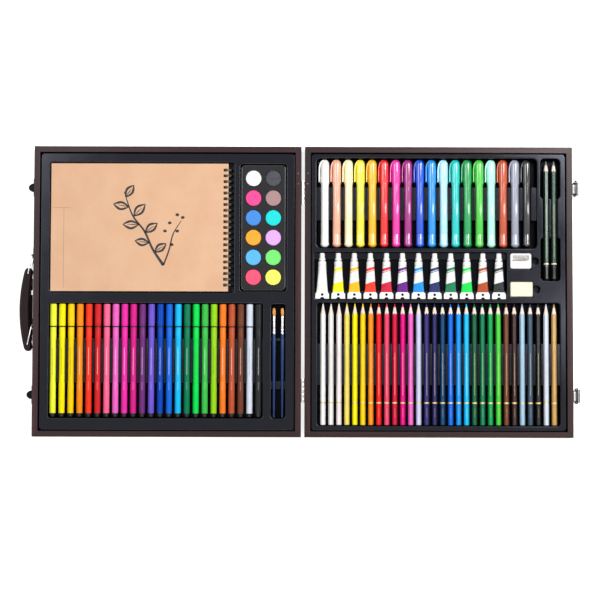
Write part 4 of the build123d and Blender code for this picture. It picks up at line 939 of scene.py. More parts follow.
saddles("pencil_saddle", "lid_tray", PENCIL_POCKET, pencil_rest - PENCIL_BAND[1], pencil_rest, PENCIL_X, PENCIL_Z,
        HEX_R, PENCIL_PITCH, LID_X)
tube_seats = Form()
tx0, tx1, ty0, ty1 = (edge + grow for edge, grow in zip(TUBE_POCKET, (-0.3, 0.3, -0.3, 0.3)))
along, height = TUBE_SHOULDER_LEDGE
tube_seats.add(ledge((tx0, tx1, TUBE_Y - along, ty1), height, LID_X))
along, height = TUBE_CRIMP_LEDGE
tube_seats.add(ledge((tx0, tx1, ty0, TUBE_Y - along), height, LID_X))
pencil_seat = PENCIL_Z - 3.75
tube_seats.add(ledge((nx0 - 0.6, nx1 + 0.6, ny0 + 2.5, ny1 - 2.5), pencil_seat, LID_X))
rib_half = DRAWING_PITCH / 2 - HEX_R - SEAT_GAP
tube_seats.add(bump_form(box_outline((DRAWING_MIDDLE - rib_half, DRAWING_MIDDLE + rib_half, ny0 + 4, ny1 - 4),
                                     rib_half * 0.9),
                         pencil_seat - 0.5, PENCIL_Z + POST_RISE, 0.5).moved(shift(LID_X)))
piece("lid_tray_ledges", tube_seats, TRAY, "lid_tray")

# ---------------------------------------------------------------- palette and paints
PALETTE_W, PALETTE_L, PAN_PITCH = 65.8, 185.2, 29.15
palette_x, palette_y = 140.42, 93.9
palette_edge = box_outline((palette_x - PALETTE_W / 2, palette_x + PALETTE_W / 2, palette_y - PALETTE_L / 2,
                            palette_y + PALETTE_L / 2), 6.0, 7)
FACE_Z = ITEM_TOP - 1.2
pan_places = [(palette_x + side * PAN_PITCH / 2, palette_y + y) for y in spaced(6, PAN_PITCH) for side in (-1, 1)]
palette = Form()
rim = [at(offset(palette_edge, -0.6), ITEM_TOP - PALETTE_H), at(palette_edge, ITEM_TOP - PALETTE_H + 0.8)]
for k in range(11):
    a = pi * k / 10
    rim.append(at(offset(palette_edge, -1.3 * (1 - cos(a))), FACE_Z + 1.2 * sin(a)))
rim.append(at(offset(palette_edge, -3.0), FACE_Z))
palette.skin(rim, ends=False, flip=True)
palette.cover(rim[0], up=False)
mouths = []
for x, y in pan_places:
    pan = [at(disc_outline(x, y, r, 32), z) for r, z in
           ((12.5, FACE_Z), (12.3, FACE_Z), (12.1, FACE_Z + 0.25), (11.9, FACE_Z + 0.15), (11.8, FACE_Z - 0.3),
            (11.7, FACE_Z - 3.6), (11.3, FACE_Z - 4.0))]
    mouths.append(pan[0])
    palette.skin(pan, ends=False).cover(pan[-1])
palette.cover(rim[-1], mouths)
piece("palette_moulding", palette, PALETTE, "palette")
cake = Form().skin([at(disc_outline(0, 0, r, 32), z) for r, z in
                    ((11.2, 0), (11.5, 0.2), (11.5, 2.3), (11.3, 2.55), (10.9, 2.6), (8.0, 2.66), (4.0, 2.68))])
cake_tints = [PAINT[name] for pair in CAKE_COLOURS for name in pair]
row("paint_cake_discs", cake, [(x, y, FACE_Z - 4.0) for x, y in pan_places], PRESSED, "paint_cakes",
    cake_tints)

# ---------------------------------------------------------------- felt pens
felt_places = [(x, FELT_Y, FELT_Z) for x in FELT_X]
felt_tints = [PAINT[name] for name in FELT_COLOURS]
felt_cap = turned([(0, 0), (0, 4.1), (0.2, 4.45), (0.7, 4.72), (1.4, 4.82), (2.6, 4.85), (3.0, 4.85), (26.5, 4.85),
                   (27.0, 4.85), (31.8, 4.85), (32.2, 4.75), (32.3, 4.6), (32.3, 4.0), (32.3, 0)],
                  32, (2.8, 26.8, 0.16, 4))
felt_neck = turned([(32.3, 0), (32.3, 4.7), (32.5, 4.85), (33.8, 4.85), (34.0, 4.7), (34.0, 0)], 24)
felt_barrel = turned([(34.0, 0), (34.0, 4.3), (34.2, 4.45), (50.0, 4.45), (55.0, 4.2), (112.0, 4.2), (118.0, 4.45),
                      (159.2, 4.45), (159.6, 4.3), (159.7, 4.0), (159.7, 0)], 24)
felt_plug = turned([(159.7, 0), (159.7, 4.1), (160.0, 4.3), (161.0, 4.3), (161.3, 4.1), (163.8, 3.7), (164.9, 3.3),
                    (165.4, 2.6), (165.4, 0)], 24)
row("pen_caps", felt_cap, felt_places, PEN_CAP, "felt_pen_caps", felt_tints)
row("pen_barrels", felt_barrel, felt_places, PEN_BARREL, "felt_pen_barrels", felt_tints)
row("pen_neck_rings", felt_neck, felt_places, PEN_PLUG, "felt_pen_barrels")
row("pen_plugs", felt_plug, felt_places, PEN_PLUG, "felt_pen_plugs")

# ---------------------------------------------------------------- brushes
brush_places = [(x, BRUSH_Y, BRUSH_Z) for x in BRUSH_X]
wood_stations = [(38.1, 0), (38.1, 2.4)]
for k in range(13):
    t = k / 12
    belly = 2.4 + 0.6 * min(1, t * 122 / 14) if t * 122 < 14 else 3.0 - 1.6 * ((t * 122 - 14) / 108) ** 0.85
    wood_stations.append((38.1 + 121.2 * t + 0.01, belly))
wood_stations += [(159.9, 1.1), (160.1, 0.6), (160.1, 0)]
row("brush_wood_handles", turned(wood_stations, 20), brush_places, HANDLE_PAINT, "brush_handles")
ferrule = turned([(11.7, 0), (11.7, 2.0, 1.1), (12.0, 2.1, 1.25), (16.0, 1.95, 1.5), (21.0, 1.85, 1.8),
                  (27.0, 2.1), (30.0, 2.2), (30.3, 2.02), (30.9, 2.02), (31.2, 2.25), (33.4, 2.35), (33.7, 2.15),
                  (34.3, 2.15), (34.6, 2.4), (37.0, 2.5), (37.3, 2.35), (37.8, 2.55), (38.1, 2.55), (38.1, 0)], 28)
row("brush_crimped_ferrules", ferrule, brush_places, ALUMINIUM, "brush_ferrules")
tuft = Form()
for layer in range(5):
    for k in range(17):
        across = (k / 16 - 0.5) * 2
        high = (layer / 4 - 0.5) * 2
        if abs(high) > sqrt(max(0, 1.05 - across * across)):
            continue
        tip_y = -0.25 * ((k * 7 + layer * 3) % 5) - 0.7 * abs(across) ** 3
        root = Vector((across * 1.7, -12.6, high * 0.85))
        swell = Vector((across * 2.1, -6.0, high * 0.95))
        tip = Vector((across * 1.85, tip_y, high * 0.3))
        tuft.add(swept([root, swell, tip], circle(0.2, 5), widths=[1, 1, 0.35], up=Vector((0, 0, 1))))
row("brush_tufts", tuft, brush_places, BRISTLE, "brush_bristles")

# ---------------------------------------------------------------- crayons
crayon_places = [(x + LID_X, CRAYON_Y, CRAYON_Z) for x in CRAYON_X]
crayon_tints = [PAINT[name] for name in CRAYON_COLOURS]
dome = [(7.6 * (1 - cos(pi / 2 * k / 8)), 6.5 * sin(pi / 2 * k / 8) ** 0.9) for k in range(9)]
crayon_cap = turned(dome + [(12.0, 6.58), (34.9, 6.6), (35.5, 6.5), (35.8, 6.2), (35.8, 0)], 28)
clip_path = smooth_path([(-1.6, -1.5, 1.4), (-4.0, -2.6, 1.3), (-6.3, -5.4, 1.2), (-7.7, -9.5, 1.1),
                         (-8.3, -15.0, 1.0), (-8.4, -22.0, 1.0), (-8.3, -28.5, 1.0), (-8.4, -31.5, 1.0),
                         (-8.5, -33.2, 1.0)], 4)
clip_section = [(u * 1.15, v * 2.3) for u, v in
                ((1, 0.5), (0.8, 0.85), (0.4, 1), (-0.4, 1), (-0.8, 0.85), (-1, 0.5), (-1, -0.5), (-0.8, -0.85),
                 (-0.4, -1), (0.4, -1), (0.8, -0.85), (1, -0.5))]
clip_widths = [1.1 - 0.15 * min(1, i / 14) for i in range(len(clip_path))]
crayon_cap.add(swept(clip_path, clip_section, widths=clip_widths, up=Vector((0, 0, 1))))
crayon_barrel = turned([(35.8, 0), (35.8, 5.9), (36.3, 5.95), (37.4, 5.9), (38.6, 5.75),
                        (40.2, 5.7), (109.0, 5.75), (109.3, 5.65), (109.4, 5.4), (109.4, 0)], 28)
crayon_knob = turned([(109.4, 0), (109.4, 5.4), (109.6, 5.65), (110.0, 5.8), (121.5, 5.85), (123.0, 5.95),
                      (124.2, 6.3), (125.4, 6.3), (126.0, 6.1), (127.4, 5.4), (128.6, 4.2), (129.4, 2.8),
                      (129.8, 1.2), (129.8, 0)], 28)
row("crayon_clip_caps", crayon_cap, crayon_places, CRAYON, "crayon_caps", crayon_tints, 1.5)
row("crayon_grips", crayon_barrel, crayon_places, CRAYON, "crayon_barrels", crayon_tints)
row("crayon_twist_ends", crayon_knob, crayon_places, CRAYON, "crayon_knobs", crayon_tints)


# ---------------------------------------------------------------- pencils
def hex_radius(a):
    """Distance from a pencil's axis to its side, a flat side up."""
    sector = (a % (pi / 3)) - pi / 6
    return PENCIL_FLATS / 2 / cos(sector)


def pencil_ring(along, radius_of, trim=0.0):
    """A ring about a pencil; its place along the pencil may follow the angle."""
    angles = [2 * pi * i / 36 for i in range(36)]
    return [Vector(((radius_of(a) - trim) * cos(a), -(along(a) if callable(along) else along),
                    (radius_of(a) - trim) * sin(a))) for a in angles]


def pencil_parts(length, cone, lead_r, lead_l):
    """Sleeve with its scalloped front edge, shaved cone and lead."""
    slope = (HEX_R - lead_r) / cone

    def scallop(a):
        return (hex_radius(a) - lead_r) / slope

    sleeve = Form().skin([[Vector((0, -cone, 0))], pencil_ring(scallop, hex_radius),
                          pencil_ring(cone + 0.6, hex_radius), pencil_ring(length - 0.5, hex_radius),
                          pencil_ring(length, hex_radius, 0.45), pencil_ring(length, lambda a: 1.9),
                          [Vector((0, -length, 0))]])
    shaved = Form().skin([[Vector((0, -lead_l, 0))], pencil_ring(lead_l, lambda a: lead_r + slope * lead_l),
                          pencil_ring(scallop, hex_radius), [Vector((0, -cone, 0))]])
    lead = turned([(0, 0), (0, 0.22), (0.25, 0.5), (lead_l, lead_r + slope * lead_l), (lead_l, 0)], 14)
    return sleeve, shaved, lead


def pencil_band(along, length, grow):
    """A thin foil band round a pencil."""
    reach = HEX_R + grow
    corners = [Vector((reach * cos(pi / 3 * i), 0, reach * sin(pi / 3 * i))) for i in range(6)]
    rings = [[c * (1 - trim) + Vector((0, -y, 0)) for c in corners]
             for y, trim in ((along, 0.02), (along + 0.05, 0), (along + length - 0.05, 0), (along + length, 0.02))]
    return Form().skin(rings)


pencil_places = [(x + LID_X, PENCIL_Y, PENCIL_Z) for x in PENCIL_X]
pencil_tints = [PAINT[name] for name in PENCIL_COLOURS]
sleeve, shaved, lead = pencil_parts(177.4, 16.4, 0.5, 5.3)
row("pencil_sleeves", sleeve, pencil_places, PENCIL_PAINT, "coloured_pencils", pencil_tints)
row("pencil_shaved_wood", shaved, pencil_places, CEDAR, "coloured_pencils")
row("pencil_leads", lead, pencil_places, PENCIL_LEAD, "coloured_pencils", pencil_tints)
row("pencil_foil_bands", pencil_band(144.0, 2.2, 0.05), pencil_places, GOLD_FOIL, "coloured_pencils")
drawing_places = [(x + LID_X, DRAWING_Y, PENCIL_Z) for x in DRAWING_X]
sleeve, shaved, lead = pencil_parts(152.0, 16.7, 0.5, 6.6)
end_rings = [pencil_ring(along, hex_radius, trim)
             for along, trim in ((152.0, 0.5), (152.0, 0), (173.4, 0), (174.0, 0.5))]
for name, form, finish in (("drawing_pencil_sleeves", sleeve, DRAWING_PAINT), ("drawing_pencil_wood", shaved, CEDAR),
                           ("drawing_pencil_leads", lead, GRAPHITE),
                           ("drawing_pencil_ends", Form().skin(end_rings), DRAWING_END),
                           ("drawing_pencil_bands", pencil_band(150.6, 2.2, 0.05), DRAWING_BAND)):
    row(name, form, drawing_places, finish, "drawing_pencils", roll=DRAWING_ROLL,
        seed=DRAWING_SEED)

# ---------------------------------------------------------------- paint tubes
tube_places = [(x + LID_X, TUBE_Y, TUBE_Z) for x in TUBE_X]
tube_tints = [PAINT[name] for name in TUBE_COLOURS]
tube_cap = turned([(0, 0), (0, 3.0), (0.3, 3.4), (0.8, 3.6), (1.2, 3.7), (7.6, 3.9), (7.9, 3.9), (8.2, 4.7),
                   (8.5, 4.9), (10.3, 4.95), (10.7, 4.8), (10.8, 4.2), (10.8, 0)], 40, (1.0, 7.3, 0.28, 2))
tube = Form()
rings = [[(0, -10.8, 0)]]
for along, half_w, half_h in ((10.8, 3.2, 3.2), (11.9, 3.3, 3.3), (12.1, 4.9, 4.9), (12.5, 5.4, 5.3), (13.2, 5.65, 5.5),
                              (15.0, 5.7, 5.5), (22.0, 5.95, 5.3), (30.0, 6.3, 4.75), (38.0, 6.8, 3.9),
                              (46.0, 7.35, 2.75), (52.0, 7.8, 1.7), (55.6, 8.05, 0.95), (57.2, 8.15, 0.62)):
    power = 1.0 + 0.5 * max(0, (along - 15) / 42)
    ring = []
    for i in range(32):
        a = 2 * pi * (i + 0.5) / 32
        c, s = cos(a), sin(a)
        ring.append((half_w * (abs(c) ** (1 / power)) * (1 if c > 0 else -1), -along, half_h * s))
    rings.append(ring)
tube.skin(rings)
notch = [Vector((3.0 * cos(a), -66.9 + 2.5 * sin(a), 0)) for a in (pi - pi * k / 8 for k in range(9))]
crimp_line = flat((10.1, -66.9), (9.9, -59.6), (8.2, -57.6), (8.1, -57.0), (-8.1, -57.0), (-8.2, -57.6),
                  (-9.9, -59.6), (-10.1, -66.9)) + notch
tube.add(plate(crimp_line, -0.6, 0.6, 0.18, [disc_outline(0, -60.8, 1.95, 20)]))
for y in (-64.2, -65.4):
    for left, right in ((3.2, 10.1), (-10.1, -3.2)):
        tube.add(plate(box_outline((left, right, y - 0.35, y + 0.35), 0.3, 3), -0.75, 0.75, 0.1))
row("tube_shells", tube, tube_places, LABEL, "tube_bodies", tube_tints)
row("tube_ribbed_caps", tube_cap, tube_places, TUBE_CAP, "tube_caps")

# ---------------------------------------------------------------- sharpener and eraser
body = plate(box_outline((-15.4, 15.4, -11.2, 11.2), 3.0, 7), ITEM_TOP - SHARPENER_H, ITEM_TOP, 0.9)
local = BLADE_Y - SHARPENER_Y
bore = turned([(-2, 0), (-2, 4.4), (29.5, 0.7), (29.5, 0)], 24).moved(
    shift(-15.4, local, ITEM_TOP - 5.8), turn(90, "Z"))
seat = plate(box_outline((-12.2, 12.2, local - 4.0, local + 3.9), 0.5, 3), ITEM_TOP - 1.6, ITEM_TOP + 3, 0.01)
slot = plate(box_outline((-13.5, 9, local - 5.4, local - 3.2), 0.8, 3), ITEM_TOP - 4.4, ITEM_TOP + 3, 0.01)
body_mesh = shifted(carved(body, bore, seat, slot), SHARPENER_X + LID_X, SHARPENER_Y)
seat_on_node(linked("sharpener_block", body_mesh), "sharpener_body", SHARPENER)
blade_line = flat((11.6, -3.5), (11.6, 3.3), (-11.6, 3.3), (-11.6, -3.5))
blade = plate(blade_line, ITEM_TOP - 1.6, ITEM_TOP - 1.0, 0.15, [disc_outline(BLADE_SCREW_X, 0, 1.3, 20)])
piece("sharpener_ground_blade", blade.moved(shift(SHARPENER_X + LID_X, BLADE_Y)), STEEL, "sharpener_blade")


def screw_head(radius, height):
    """Pan head with a cross recess."""
    head = Form().skin([at(disc_outline(0, 0, r * radius, 20), z * height) for r, z in
                        ((1, 0), (1, 0.25), (0.94, 0.55), (0.75, 0.85), (0.45, 0.98), (0.1, 1.0))])
    bar = 0.13 * radius
    cross = [plate(box_outline((-a, a, -b, b), 0.04, 1), height * 0.45, height + 1, 0.01)
             for a, b in ((0.55 * radius, bar), (bar, 0.55 * radius))]
    return carved(head, *cross)


blade_screw = shifted(screw_head(2.1, 0.6), SHARPENER_X + BLADE_SCREW_X + LID_X, BLADE_Y, ITEM_TOP - 1.0)
seat_on_node(linked("sharpener_cross_screw", blade_screw), "sharpener_screw", STEEL)

eraser = plate(box_outline((-16.35, 16.35, -10.75, 10.75), 1.6, 6), ITEM_TOP - ERASER_H, ITEM_TOP, 1.3)
piece("eraser_block", eraser.moved(shift(ERASER_X + LID_X, ERASER_Y)), RUBBER, "eraser",
      modifiers=[("BEVEL", {"width": 0.5 * MM, "segments": 3, "limit_method": "ANGLE"})])

# ---------------------------------------------------------------- sketchbook
SPINE_X, SPINE_Z = 88.78, 19.5
LOOP_PITCH, LOOP_R = 8.47, 6.2
loop_y = spaced(21, LOOP_PITCH, 93.9)
ring_path = [Vector((LOOP_R * cos(2 * pi * i / 30), 0, LOOP_R * sin(2 * pi * i / 30))) for i in range(30)]
twin = Form()
for side in (-0.75, 0.75):
    twin.add(swept([p + Vector((0, side, 0)) for p in ring_path], circle(0.45, 6), closed=True))
row("binding_twin_loops", twin, [(SPINE_X, y, SPINE_Z) for y in loop_y], BINDING, "sketchbook_wire")


def stroke(points, widths):
    """One brush stroke of ink on the cover."""
    path = smooth_path([(x, y, ITEM_TOP + 0.03) for x, y in points], 7)
    spread = []
    for i in range(len(path)):
        t = i / (len(path) - 1) * (len(widths) - 1)
        k = min(int(t), len(widths) - 2)
        spread.append(max(0.02, widths[k] + (widths[k + 1] - widths[k]) * (t - k)))
    section = [(1, -0.03), (1, 0.02), (-1, 0.02), (-1, -0.03)]
    form = Form()
    rings = []
    for i, p in enumerate(path):
        along = (path[min(i + 1, len(path) - 1)] - path[max(i - 1, 0)]).normalized()
        side = Vector((-along.y, along.x, 0))
        rings.append([p + side * (u * spread[i] / 2) + Vector((0, 0, v)) for u, v in section])
    return form.skin(rings)


def sprig():
    """A plain brush-drawn twig with leaves and berries, and two thin ruled lines."""
    art = Form()
    stem = [(-6, 38), (-22, 62), (-34, 88), (-52, 112), (-64, 146)]
    art.add(stroke(stem, [4.4, 3.4, 3.0, 2.4, 1.0]))
    leaves = [((-19, 57), (-2, 70), 9), ((-27, 71), (-48, 74), 9), ((-33, 86), (-15, 100), 10),
              ((-42, 98), (-66, 98), 9), ((-50, 110), (-33, 128), 9), ((-57, 124), (-80, 128), 8),
              ((-62, 138), (-50, 156), 7)]
    for (x0, y0), (x1, y1), size in leaves:
        dx, dy = x1 - x0, y1 - y0
        for bow in (0.24, -0.2):
            middle = (x0 + dx * 0.5 - dy * bow, y0 + dy * 0.5 + dx * bow)
            art.add(stroke([(x0, y0), middle, (x1, y1)], [1.0, 3.2, 3.6, 0.8]))
        art.add(stroke([(x0, y0), (x0 + dx * 0.4, y0 + dy * 0.42), (x0 + dx * 0.72, y0 + dy * 0.7)], [0.8, 1.4, 0.4]))
    art.add(stroke([(-6, 38), (2, 60), (8, 84), (20, 104)], [2.4, 2.2, 1.8, 0.8]))
    for x, y in ((6, 68), (-4, 88), (14, 88), (3, 100), (22, 108), (14, 112)):
        art.add(stroke([(x - 2.6, y), (x, y + 0.4), (x + 2.6, y)], [2.0, 5.0, 2.0]))
    art.add(stroke([(-152.5, 122.5), (-152.5, 60.0), (-152.5, 4.0)], [0.25, 0.25]))
    art.add(stroke([(-168.0, 122.5), (-155.0, 122.5), (-142.0, 122.5)], [0.25, 0.25]))
    return art


art = linked("cover_sprig", mesh_of("cover_sprig", sprig()))
art.data.materials.append(INK)
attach(art, "sketchbook_cover")


# ---------------------------------------------------------------- fittings
def on_base(y, z=0.0):
    """Where a fitting made outward along +X stands on the base's outer board."""
    return shift(-WALL) @ turn(180, "Z") @ shift(0, y, z)


def on_lid(y):
    """The same on the lid's outer board."""
    return shift(WALL + LID_X) @ shift(0, y)


# Hinges: each leaf a plate with every other knuckle
def knuckle_tube(y0, y1):
    return turned([(-y1, 0), (-y1, 1.5), (-y1 + 0.2, 2.15), (-y1 + 0.6, 2.2), (-y0 - 0.6, 2.2), (-y0 - 0.2, 2.15),
                   (-y0, 1.5), (-y0, 0)], 20)


def hinge_half(first):
    knuckles = spaced(5, 6.9)
    top = []
    for i, y in sorted(enumerate(knuckles), reverse=True):
        high = -0.3 if i % 2 == first else -2.6
        top += [(y + 3.4, high), (y - 3.4, high)]
    leaf = plate(flat((-17.25, -16), (17.25, -16), *top), 1.5, 2.5, 0.12)
    form = Form().add(leaf, Matrix(((0, 0, -1, 0), (1, 0, 0, 0), (0, 1, 0, 0), (0, 0, 0, 1))))
    for y in knuckles[first::2]:
        form.add(knuckle_tube(y - 3.375, y + 3.375))
    return form


for node, first, angle in (("hinge_leaves_base", 0, 0), ("hinge_leaves_lid", 1, 180)):
    form = Form()
    for y in HINGE_Y:
        form.add(hinge_half(first), shift(HINGE_X, y, AXIS_Z) @ turn(angle, "Z"))
    piece(node + "_rolled", form, CHROME, node)

# Handle: brackets, wire links and the crescent grip
bracket_plate = plate(box_outline((-12.5, 12.5, -8, 8), 3.0, 6), 0, 1.2, 0.35).moved(ON_WALL)
bridge_line = flat((0.6, -2.24)) + arc(2.5, 0, 2.24, half_round(12)) + flat((0.6, 2.24))
bracket = Form().add(bracket_plate).add(plate(bridge_line, -6.5, 6.5, 0.3, [disc_outline(2.5, 0, 1.22, 20)]))
for side, y in BRACKETS:
    piece(f"handle_bracket_{side}_pressed", bracket.moved(on_base(-y, FITTING_Z)), DARK_METAL,
          f"handle_bracket_{side}")
LINK_L, LINK_HALF, LINK_FOLD = 27.4, 9.1, 12
link_line = rounded([Vector((0, -y, z)) for y, z in ((0, LINK_HALF), (LINK_L, LINK_HALF), (LINK_L, -LINK_HALF),
                                                     (0, -LINK_HALF))], 1.6, 5)
link = swept(link_line, circle(1.1, 12), closed=True)
for side, y in BRACKETS:
    piece(f"handle_link_{side}_bent", link.moved(shift(-WALL - 2.5, y, FITTING_Z), turn(-LINK_FOLD, "Z")), CHROME,
          f"handle_link_{side}")


def grip_outline():
    """Plan of the grip: four arcs that meet smoothly."""
    end_out, half, end_r = 8.197, 55.0, 6.4
    spans = []
    for mid, sign in ((21.4 - end_r, 1), (6.5 + end_r, -1)):
        cx = (mid ** 2 - end_out ** 2 - half ** 2) / (2 * (mid - end_out))
        reach = hypot(end_out - cx, half) + sign * end_r
        spans.append((cx, reach, atan2(half, end_out - cx)))
    (cx, reach, a), (inner_cx, inner_reach, b) = spans
    return (arc(cx, 0, reach, [a * (k / 16 * 2 - 1) for k in range(17)])
            + arc(end_out, half, end_r, [a + (pi + b - a) * k / 8 for k in range(1, 8)])
            + arc(inner_cx, 0, inner_reach, [b * (1 - k / 16 * 2) for k in range(17)])
            + arc(end_out, -half, end_r, [-pi - b + (pi + b - a) * k / 8 for k in range(1, 8)]))


grip_plan = grip_outline()
rings = [at(offset(grip_plan, -2.4 * (1 - cos(a))), 7.5 * sin(a) * (0.62 + 0.38 * abs(sin(a))))
         for a in half_round(8)]
grip = Form().skin(rings, ends=False)
grip.cover(rings[-1]).cover(rings[0], up=False)
# A thin flap of the grip's leather under its inner edge, reaching towards the board: a dark sheet put into the gap so
# that the gap shows as shade.
shade_flap_edge = flat((9, -48), (9, 48), (3.1, 46), (3.1, 29), (5.2, 28), (5.2, 22.5), (3.1, 21.5), (3.1, -21.5),
                 (5.2, -22.5), (5.2, -28), (3.1, -29), (3.1, -46))
grip.add(plate(rounded(shade_flap_edge, 0.5, 3), -7.75, -6.65, 0.2))
grip_place = on_base(26.8, FITTING_Z)
piece("handle_padded_grip", grip.moved(grip_place), LEATHER, "handle_grip")
seam = offset(grip_plan, -3.1)
thread_places = []
for z in (-7.45, 7.45):
    piped = seam[::2]
    for here, after in zip(piped, piped[1:] + piped[:1]):
        run = (after - here).length
        for k in range(max(1, round(run / 2.6))):
            thread_places.append((here.lerp(after, (k + 0.25) / max(1, round(run / 2.6))), z))
stitch = turned([(0, 0), (0.15, 0.24), (1.5, 0.24), (1.65, 0)], 6)
stitches = Form()
for place, z in thread_places:
    stitches.add(stitch, shift(place.x, place.y, z))
piece("handle_grip_stitches", stitches.moved(grip_place), INK, "handle_grip")

# Latches on the lid: plate with ears, lever and wire loop
pivot = (5.0, 20.0)
latch_base = plate(box_outline((-8, 8, 9, 23), 1.2, 4), 0, 1.2, 0.25).moved(ON_WALL)
ear_line = flat((0.8, 17.0)) + arc(*pivot, 3, half_round(12)) + flat((0.8, 23.0))
ear = plate(ear_line, 0, 1.4, 0.2, [disc_outline(*pivot, 1.05, 16)])
for v in (-8.0, 6.6):
    latch_base.add(ear, shift(0, v, 0) @ SIDEWAYS)
form = Form()
for y in LATCH_Y:
    form.add(latch_base, on_lid(y))
# The latch base plates are real parts drawn near black: painted shade inside the latch.
piece("latch_base_plates", form, SHADE_BLACK_METAL, "latch_plates")

flange_line = rounded(flat((1.9, 20.0), (2.4, 12.6), (8.0, 5.2), (10.2, 4.0), (10.2, 21.5), (7.0, 22.9),
                           (3.4, 22.6)), 0.6, 3)
flange = plate(flange_line, 0, 1.2, 0.2, [disc_outline(*pivot, 1.1, 16), disc_outline(4.4, 14.1, 1.0, 16)])
face_line = rounded(flat((9.4, 21.5), (9.4, 4.2), (10.9, 2.6), (12.0, 2.4), (12.0, 3.4), (10.6, 5.2),
                         (10.6, 21.5)), 0.35, 3)
channel = Form()
for v in (-9.5, 8.3):
    channel.add(flange, shift(0, v, 0) @ SIDEWAYS)
channel.add(plate(face_line, -9.5, 9.5, 0.35), SIDEWAYS)
loop_path = rounded([Vector((4.4, 8.3, 14.1)), Vector((4.4, 10.7, 14.1)), Vector((4.4, 10.7, 36.9)),
                     Vector((4.4, -10.7, 36.9)), Vector((4.4, -10.7, 14.1)), Vector((4.4, -8.3, 14.1))], 1.5, 5,
                    closed=False)
wire_loop = swept(loop_path, circle(0.9, 12))
for side, y in LATCHES:
    piece(f"latch_lever_{side}_channel", channel.moved(on_lid(y)), LATCH_METAL, f"latch_lever_{side}")
    piece(f"latch_loop_{side}_wire", wire_loop.moved(on_lid(y)), DARK_METAL, f"latch_loop_{side}")

# Catches on the base
catch = plate(box_outline((-13.5, 13.5, 8, 24), 2.0, 5), 0, 1.2, 0.3).moved(ON_WALL)
sweep = [radians(-90 + 10 * k) for k in range(19)]
tongue = flat(*[(0.8 + 7.9 * cos(t), 6.4 * sin(t)) for t in sweep])
catch.add(plate(tongue, 20.7, 21.9, 0.3))
lip = swept([Vector((0.8 + 7.6 * cos(t), 6.0 * sin(t), 19.9)) for t in sweep[6:13]],
            [(-0.55, -2.0), (-0.2, -2.4), (0.2, -2.4), (0.55, -2.0), (0.55, 1.5), (-0.55, 1.5)], up=Vector((0, 0, 1)))
form, lips = Form(), Form()
for y in LATCH_Y:
    form.add(catch, on_base(y))
    lips.add(lip, on_base(y))
piece("catch_hook_lips", lips, LATCH_METAL, "catch_plates")
# The catch plates are real parts drawn near black: painted shade behind the hook.
piece("catch_hook_plates", form, SHADE_BLACK_METAL, "catch_plates")


# Screws and brads
def screws(name, places, node, facing, finish=CHROME, radius=1.9, height=0.8):
    """Screw heads at places, facing right (+X), left (-X) or up."""
    head = screw_head(radius, height)
    if facing != "up":
        head.transform(turn(90 if facing == "right" else -90, "Y"))
    row(name, head, places, finish, node)


face = WALL + LID_X
screws("latch_plate_screws", [(face + 1.2, y + dy, 13.5) for y in LATCH_Y for dy in (-3.6, 3.6)], "latch_plates",
       "right")
screws("catch_plate_screws", [(-WALL - 1.2, y + dy, 16) for y in LATCH_Y for dy in (-10, 10)], "catch_plates",
       "left")
for side, y in BRACKETS:
    screws(f"bracket_{side}_screws", [(-WALL - 1.2, y + dy, FITTING_Z) for dy in (-9, 9)], f"handle_bracket_{side}",
           "left")
hinge_screw_z = AXIS_Z - 9.5
screws("hinge_base_screws", [(WALL + 1.0, y + dy, hinge_screw_z) for y in HINGE_Y for dy in (-10, 10)],
       "hinge_leaves_base", "right", radius=1.7, height=0.5)
screws("hinge_lid_screws", [(LID_X - WALL - 1.0, y + dy, hinge_screw_z) for y in HINGE_Y for dy in (-10, 10)],
       "hinge_leaves_lid", "left", radius=1.7, height=0.5)


def brads(name, places, body):
    """Tiny nail heads set in the rim beside the hinge."""
    head = Form().skin([at(disc_outline(0, 0, r, 12), z) for r, z in
                        ((0.8, -0.4), (0.8, 0.03), (0.6, 0.14), (0.2, 0.2))])
    heads = Form()
    for x, y in places:
        heads.add(head, shift(x, y, HALF_H))
    thing = linked(name, mesh_of(name, heads))
    thing.data.materials.append(BINDING)
    thing.data.shade_smooth()
    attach(thing, body)


brads("rim_brads_base", [(191.0, 173.1), (192.0, 158.1)], "base")
brads("rim_brads_lid", [(205.8, 173.4), (205.0, 158.1)], "lid")

# ---------------------------------------------------------------- pieces kept from the frame
KEPT = {
    "base_front_board": WOOD_X, "base_back_board": WOOD_X, "lid_front_board": WOOD_X, "lid_back_board": WOOD_X,
    "base_handle_board": WOOD_Y, "base_hinge_board": WOOD_Y, "lid_hinge_board": WOOD_Y, "lid_latch_board": WOOD_Y,
    "base_panel": WOOD_X, "lid_panel": WOOD_X, "hinge_pins": CHROME, "latch_pins": LATCH_METAL,
    "sketchbook_cover": KRAFT, "sketchbook_sheets": PAPER, "sketchbook_back_board": GREY_BOARD,
}
for name, material in KEPT.items():
    kept = nodes[name].data
    kept.materials.clear()
    kept.materials.append(material)

# ---------------------------------------------------------------- stage, light and camera
FLOOR_GLOW = 0.8
WORLD_LIGHT, WORLD_SEEN = 0.07, 1.0


def seen_plainly(tree):
    """One for what the camera sees, itself or in a glossy or clear surface; nought for what lights the object."""
    path = tree.nodes.new("ShaderNodeLightPath")
    seen = path.outputs["Is Camera Ray"]
    for kind in ("Is Glossy Ray", "Is Transmission Ray"):
        either = tree.nodes.new("ShaderNodeMath")
        either.operation = "MAXIMUM"
        tree.links.new(seen, either.inputs[0])
        tree.links.new(path.outputs[kind], either.inputs[1])
        seen = either.outputs[0]
    return seen


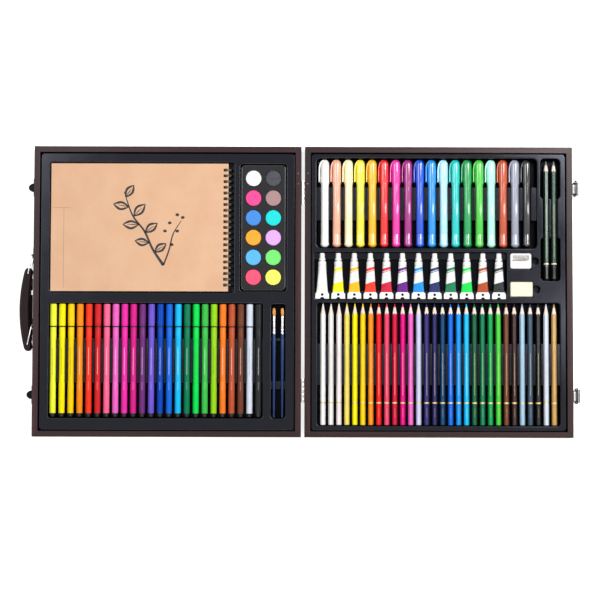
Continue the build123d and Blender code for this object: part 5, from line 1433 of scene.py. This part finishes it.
floor_finish = Recipe("pale_floor", Roughness=1.0, Specular_IOR_Level=0.0)
floor_finish.use("Base Color", floor_finish.varied(colour("f4f4f4"), floor_finish.noise(2, 2), 0.005))
floor_finish.shader.inputs["Emission Color"].default_value = (1, 1, 1, 1)
floor_finish.use("Emission Strength", floor_finish.scaled(seen_plainly(floor_finish.tree), 0, 1, 0, FLOOR_GLOW))
floor = linked("floor", bpy.data.meshes.new("floor"))
half = 6.0
floor.data.from_pydata([(-half, -half, -0.0005), (half, -half, -0.0005), (half, half, -0.0005),
                        (-half, half, -0.0005)], [], [(0, 1, 2, 3)])
floor.data.materials.append(floor_finish.material)

world = bpy.data.worlds.new("studio")
bpy.context.scene.world = world
world.use_nodes = True
sky = world.node_tree.nodes["Background"]
level = world.node_tree.nodes.new("ShaderNodeMapRange")
level.inputs["To Min"].default_value = WORLD_LIGHT
level.inputs["To Max"].default_value = WORLD_SEEN
world.node_tree.links.new(seen_plainly(world.node_tree), level.inputs["Value"])
world.node_tree.links.new(level.outputs[0], sky.inputs["Strength"])
sky.inputs["Color"].default_value = (1, 1, 1, 1)


def softbox(name, place, target, size, power):
    """A rectangular soft light, aimed at a point."""
    lamp = bpy.data.lights.new(name, "AREA")
    lamp.shape = "RECTANGLE"
    lamp.size, lamp.size_y = size
    lamp.energy = power
    thing = bpy.data.objects.new(name, lamp)
    thing.location = place
    thing.rotation_euler = (Vector(target) - Vector(place)).to_track_quat("-Z", "Y").to_euler()
    bpy.context.scene.collection.objects.link(thing)


middle = (0.19, 0.0, 0.02)
softbox("left_softbox", (-0.70, 0.45, 1.4), middle, (0.8, 0.75), 8.5)
softbox("right_softbox", (0.96, 0.6, 1.4), middle, (0.6, 0.6), 19)
softbox("strip_softbox", (1.3, 0.05, 1.25), middle, (0.1, 1.4), 4.3)
softbox("front_softbox", (0.19, -1.05, 1.5), middle, (1.3, 0.3), 9.9)

TILT = 3.5
ROLL = 0.15
DISTANCE = 2.8
aim = Vector((0.1948, -0.0127, 0.028))
camera = bpy.data.cameras.new("camera")
camera.lens = 114.95
camera.sensor_width = 36
eye = bpy.data.objects.new("camera", camera)
eye.location = aim + Vector((0, -sin(radians(TILT)), cos(radians(TILT)))) * DISTANCE
eye.rotation_euler = (radians(TILT), 0, radians(ROLL))
bpy.context.scene.collection.objects.link(eye)
bpy.context.scene.camera = eye
bpy.context.scene.view_settings.view_transform = "Standard"
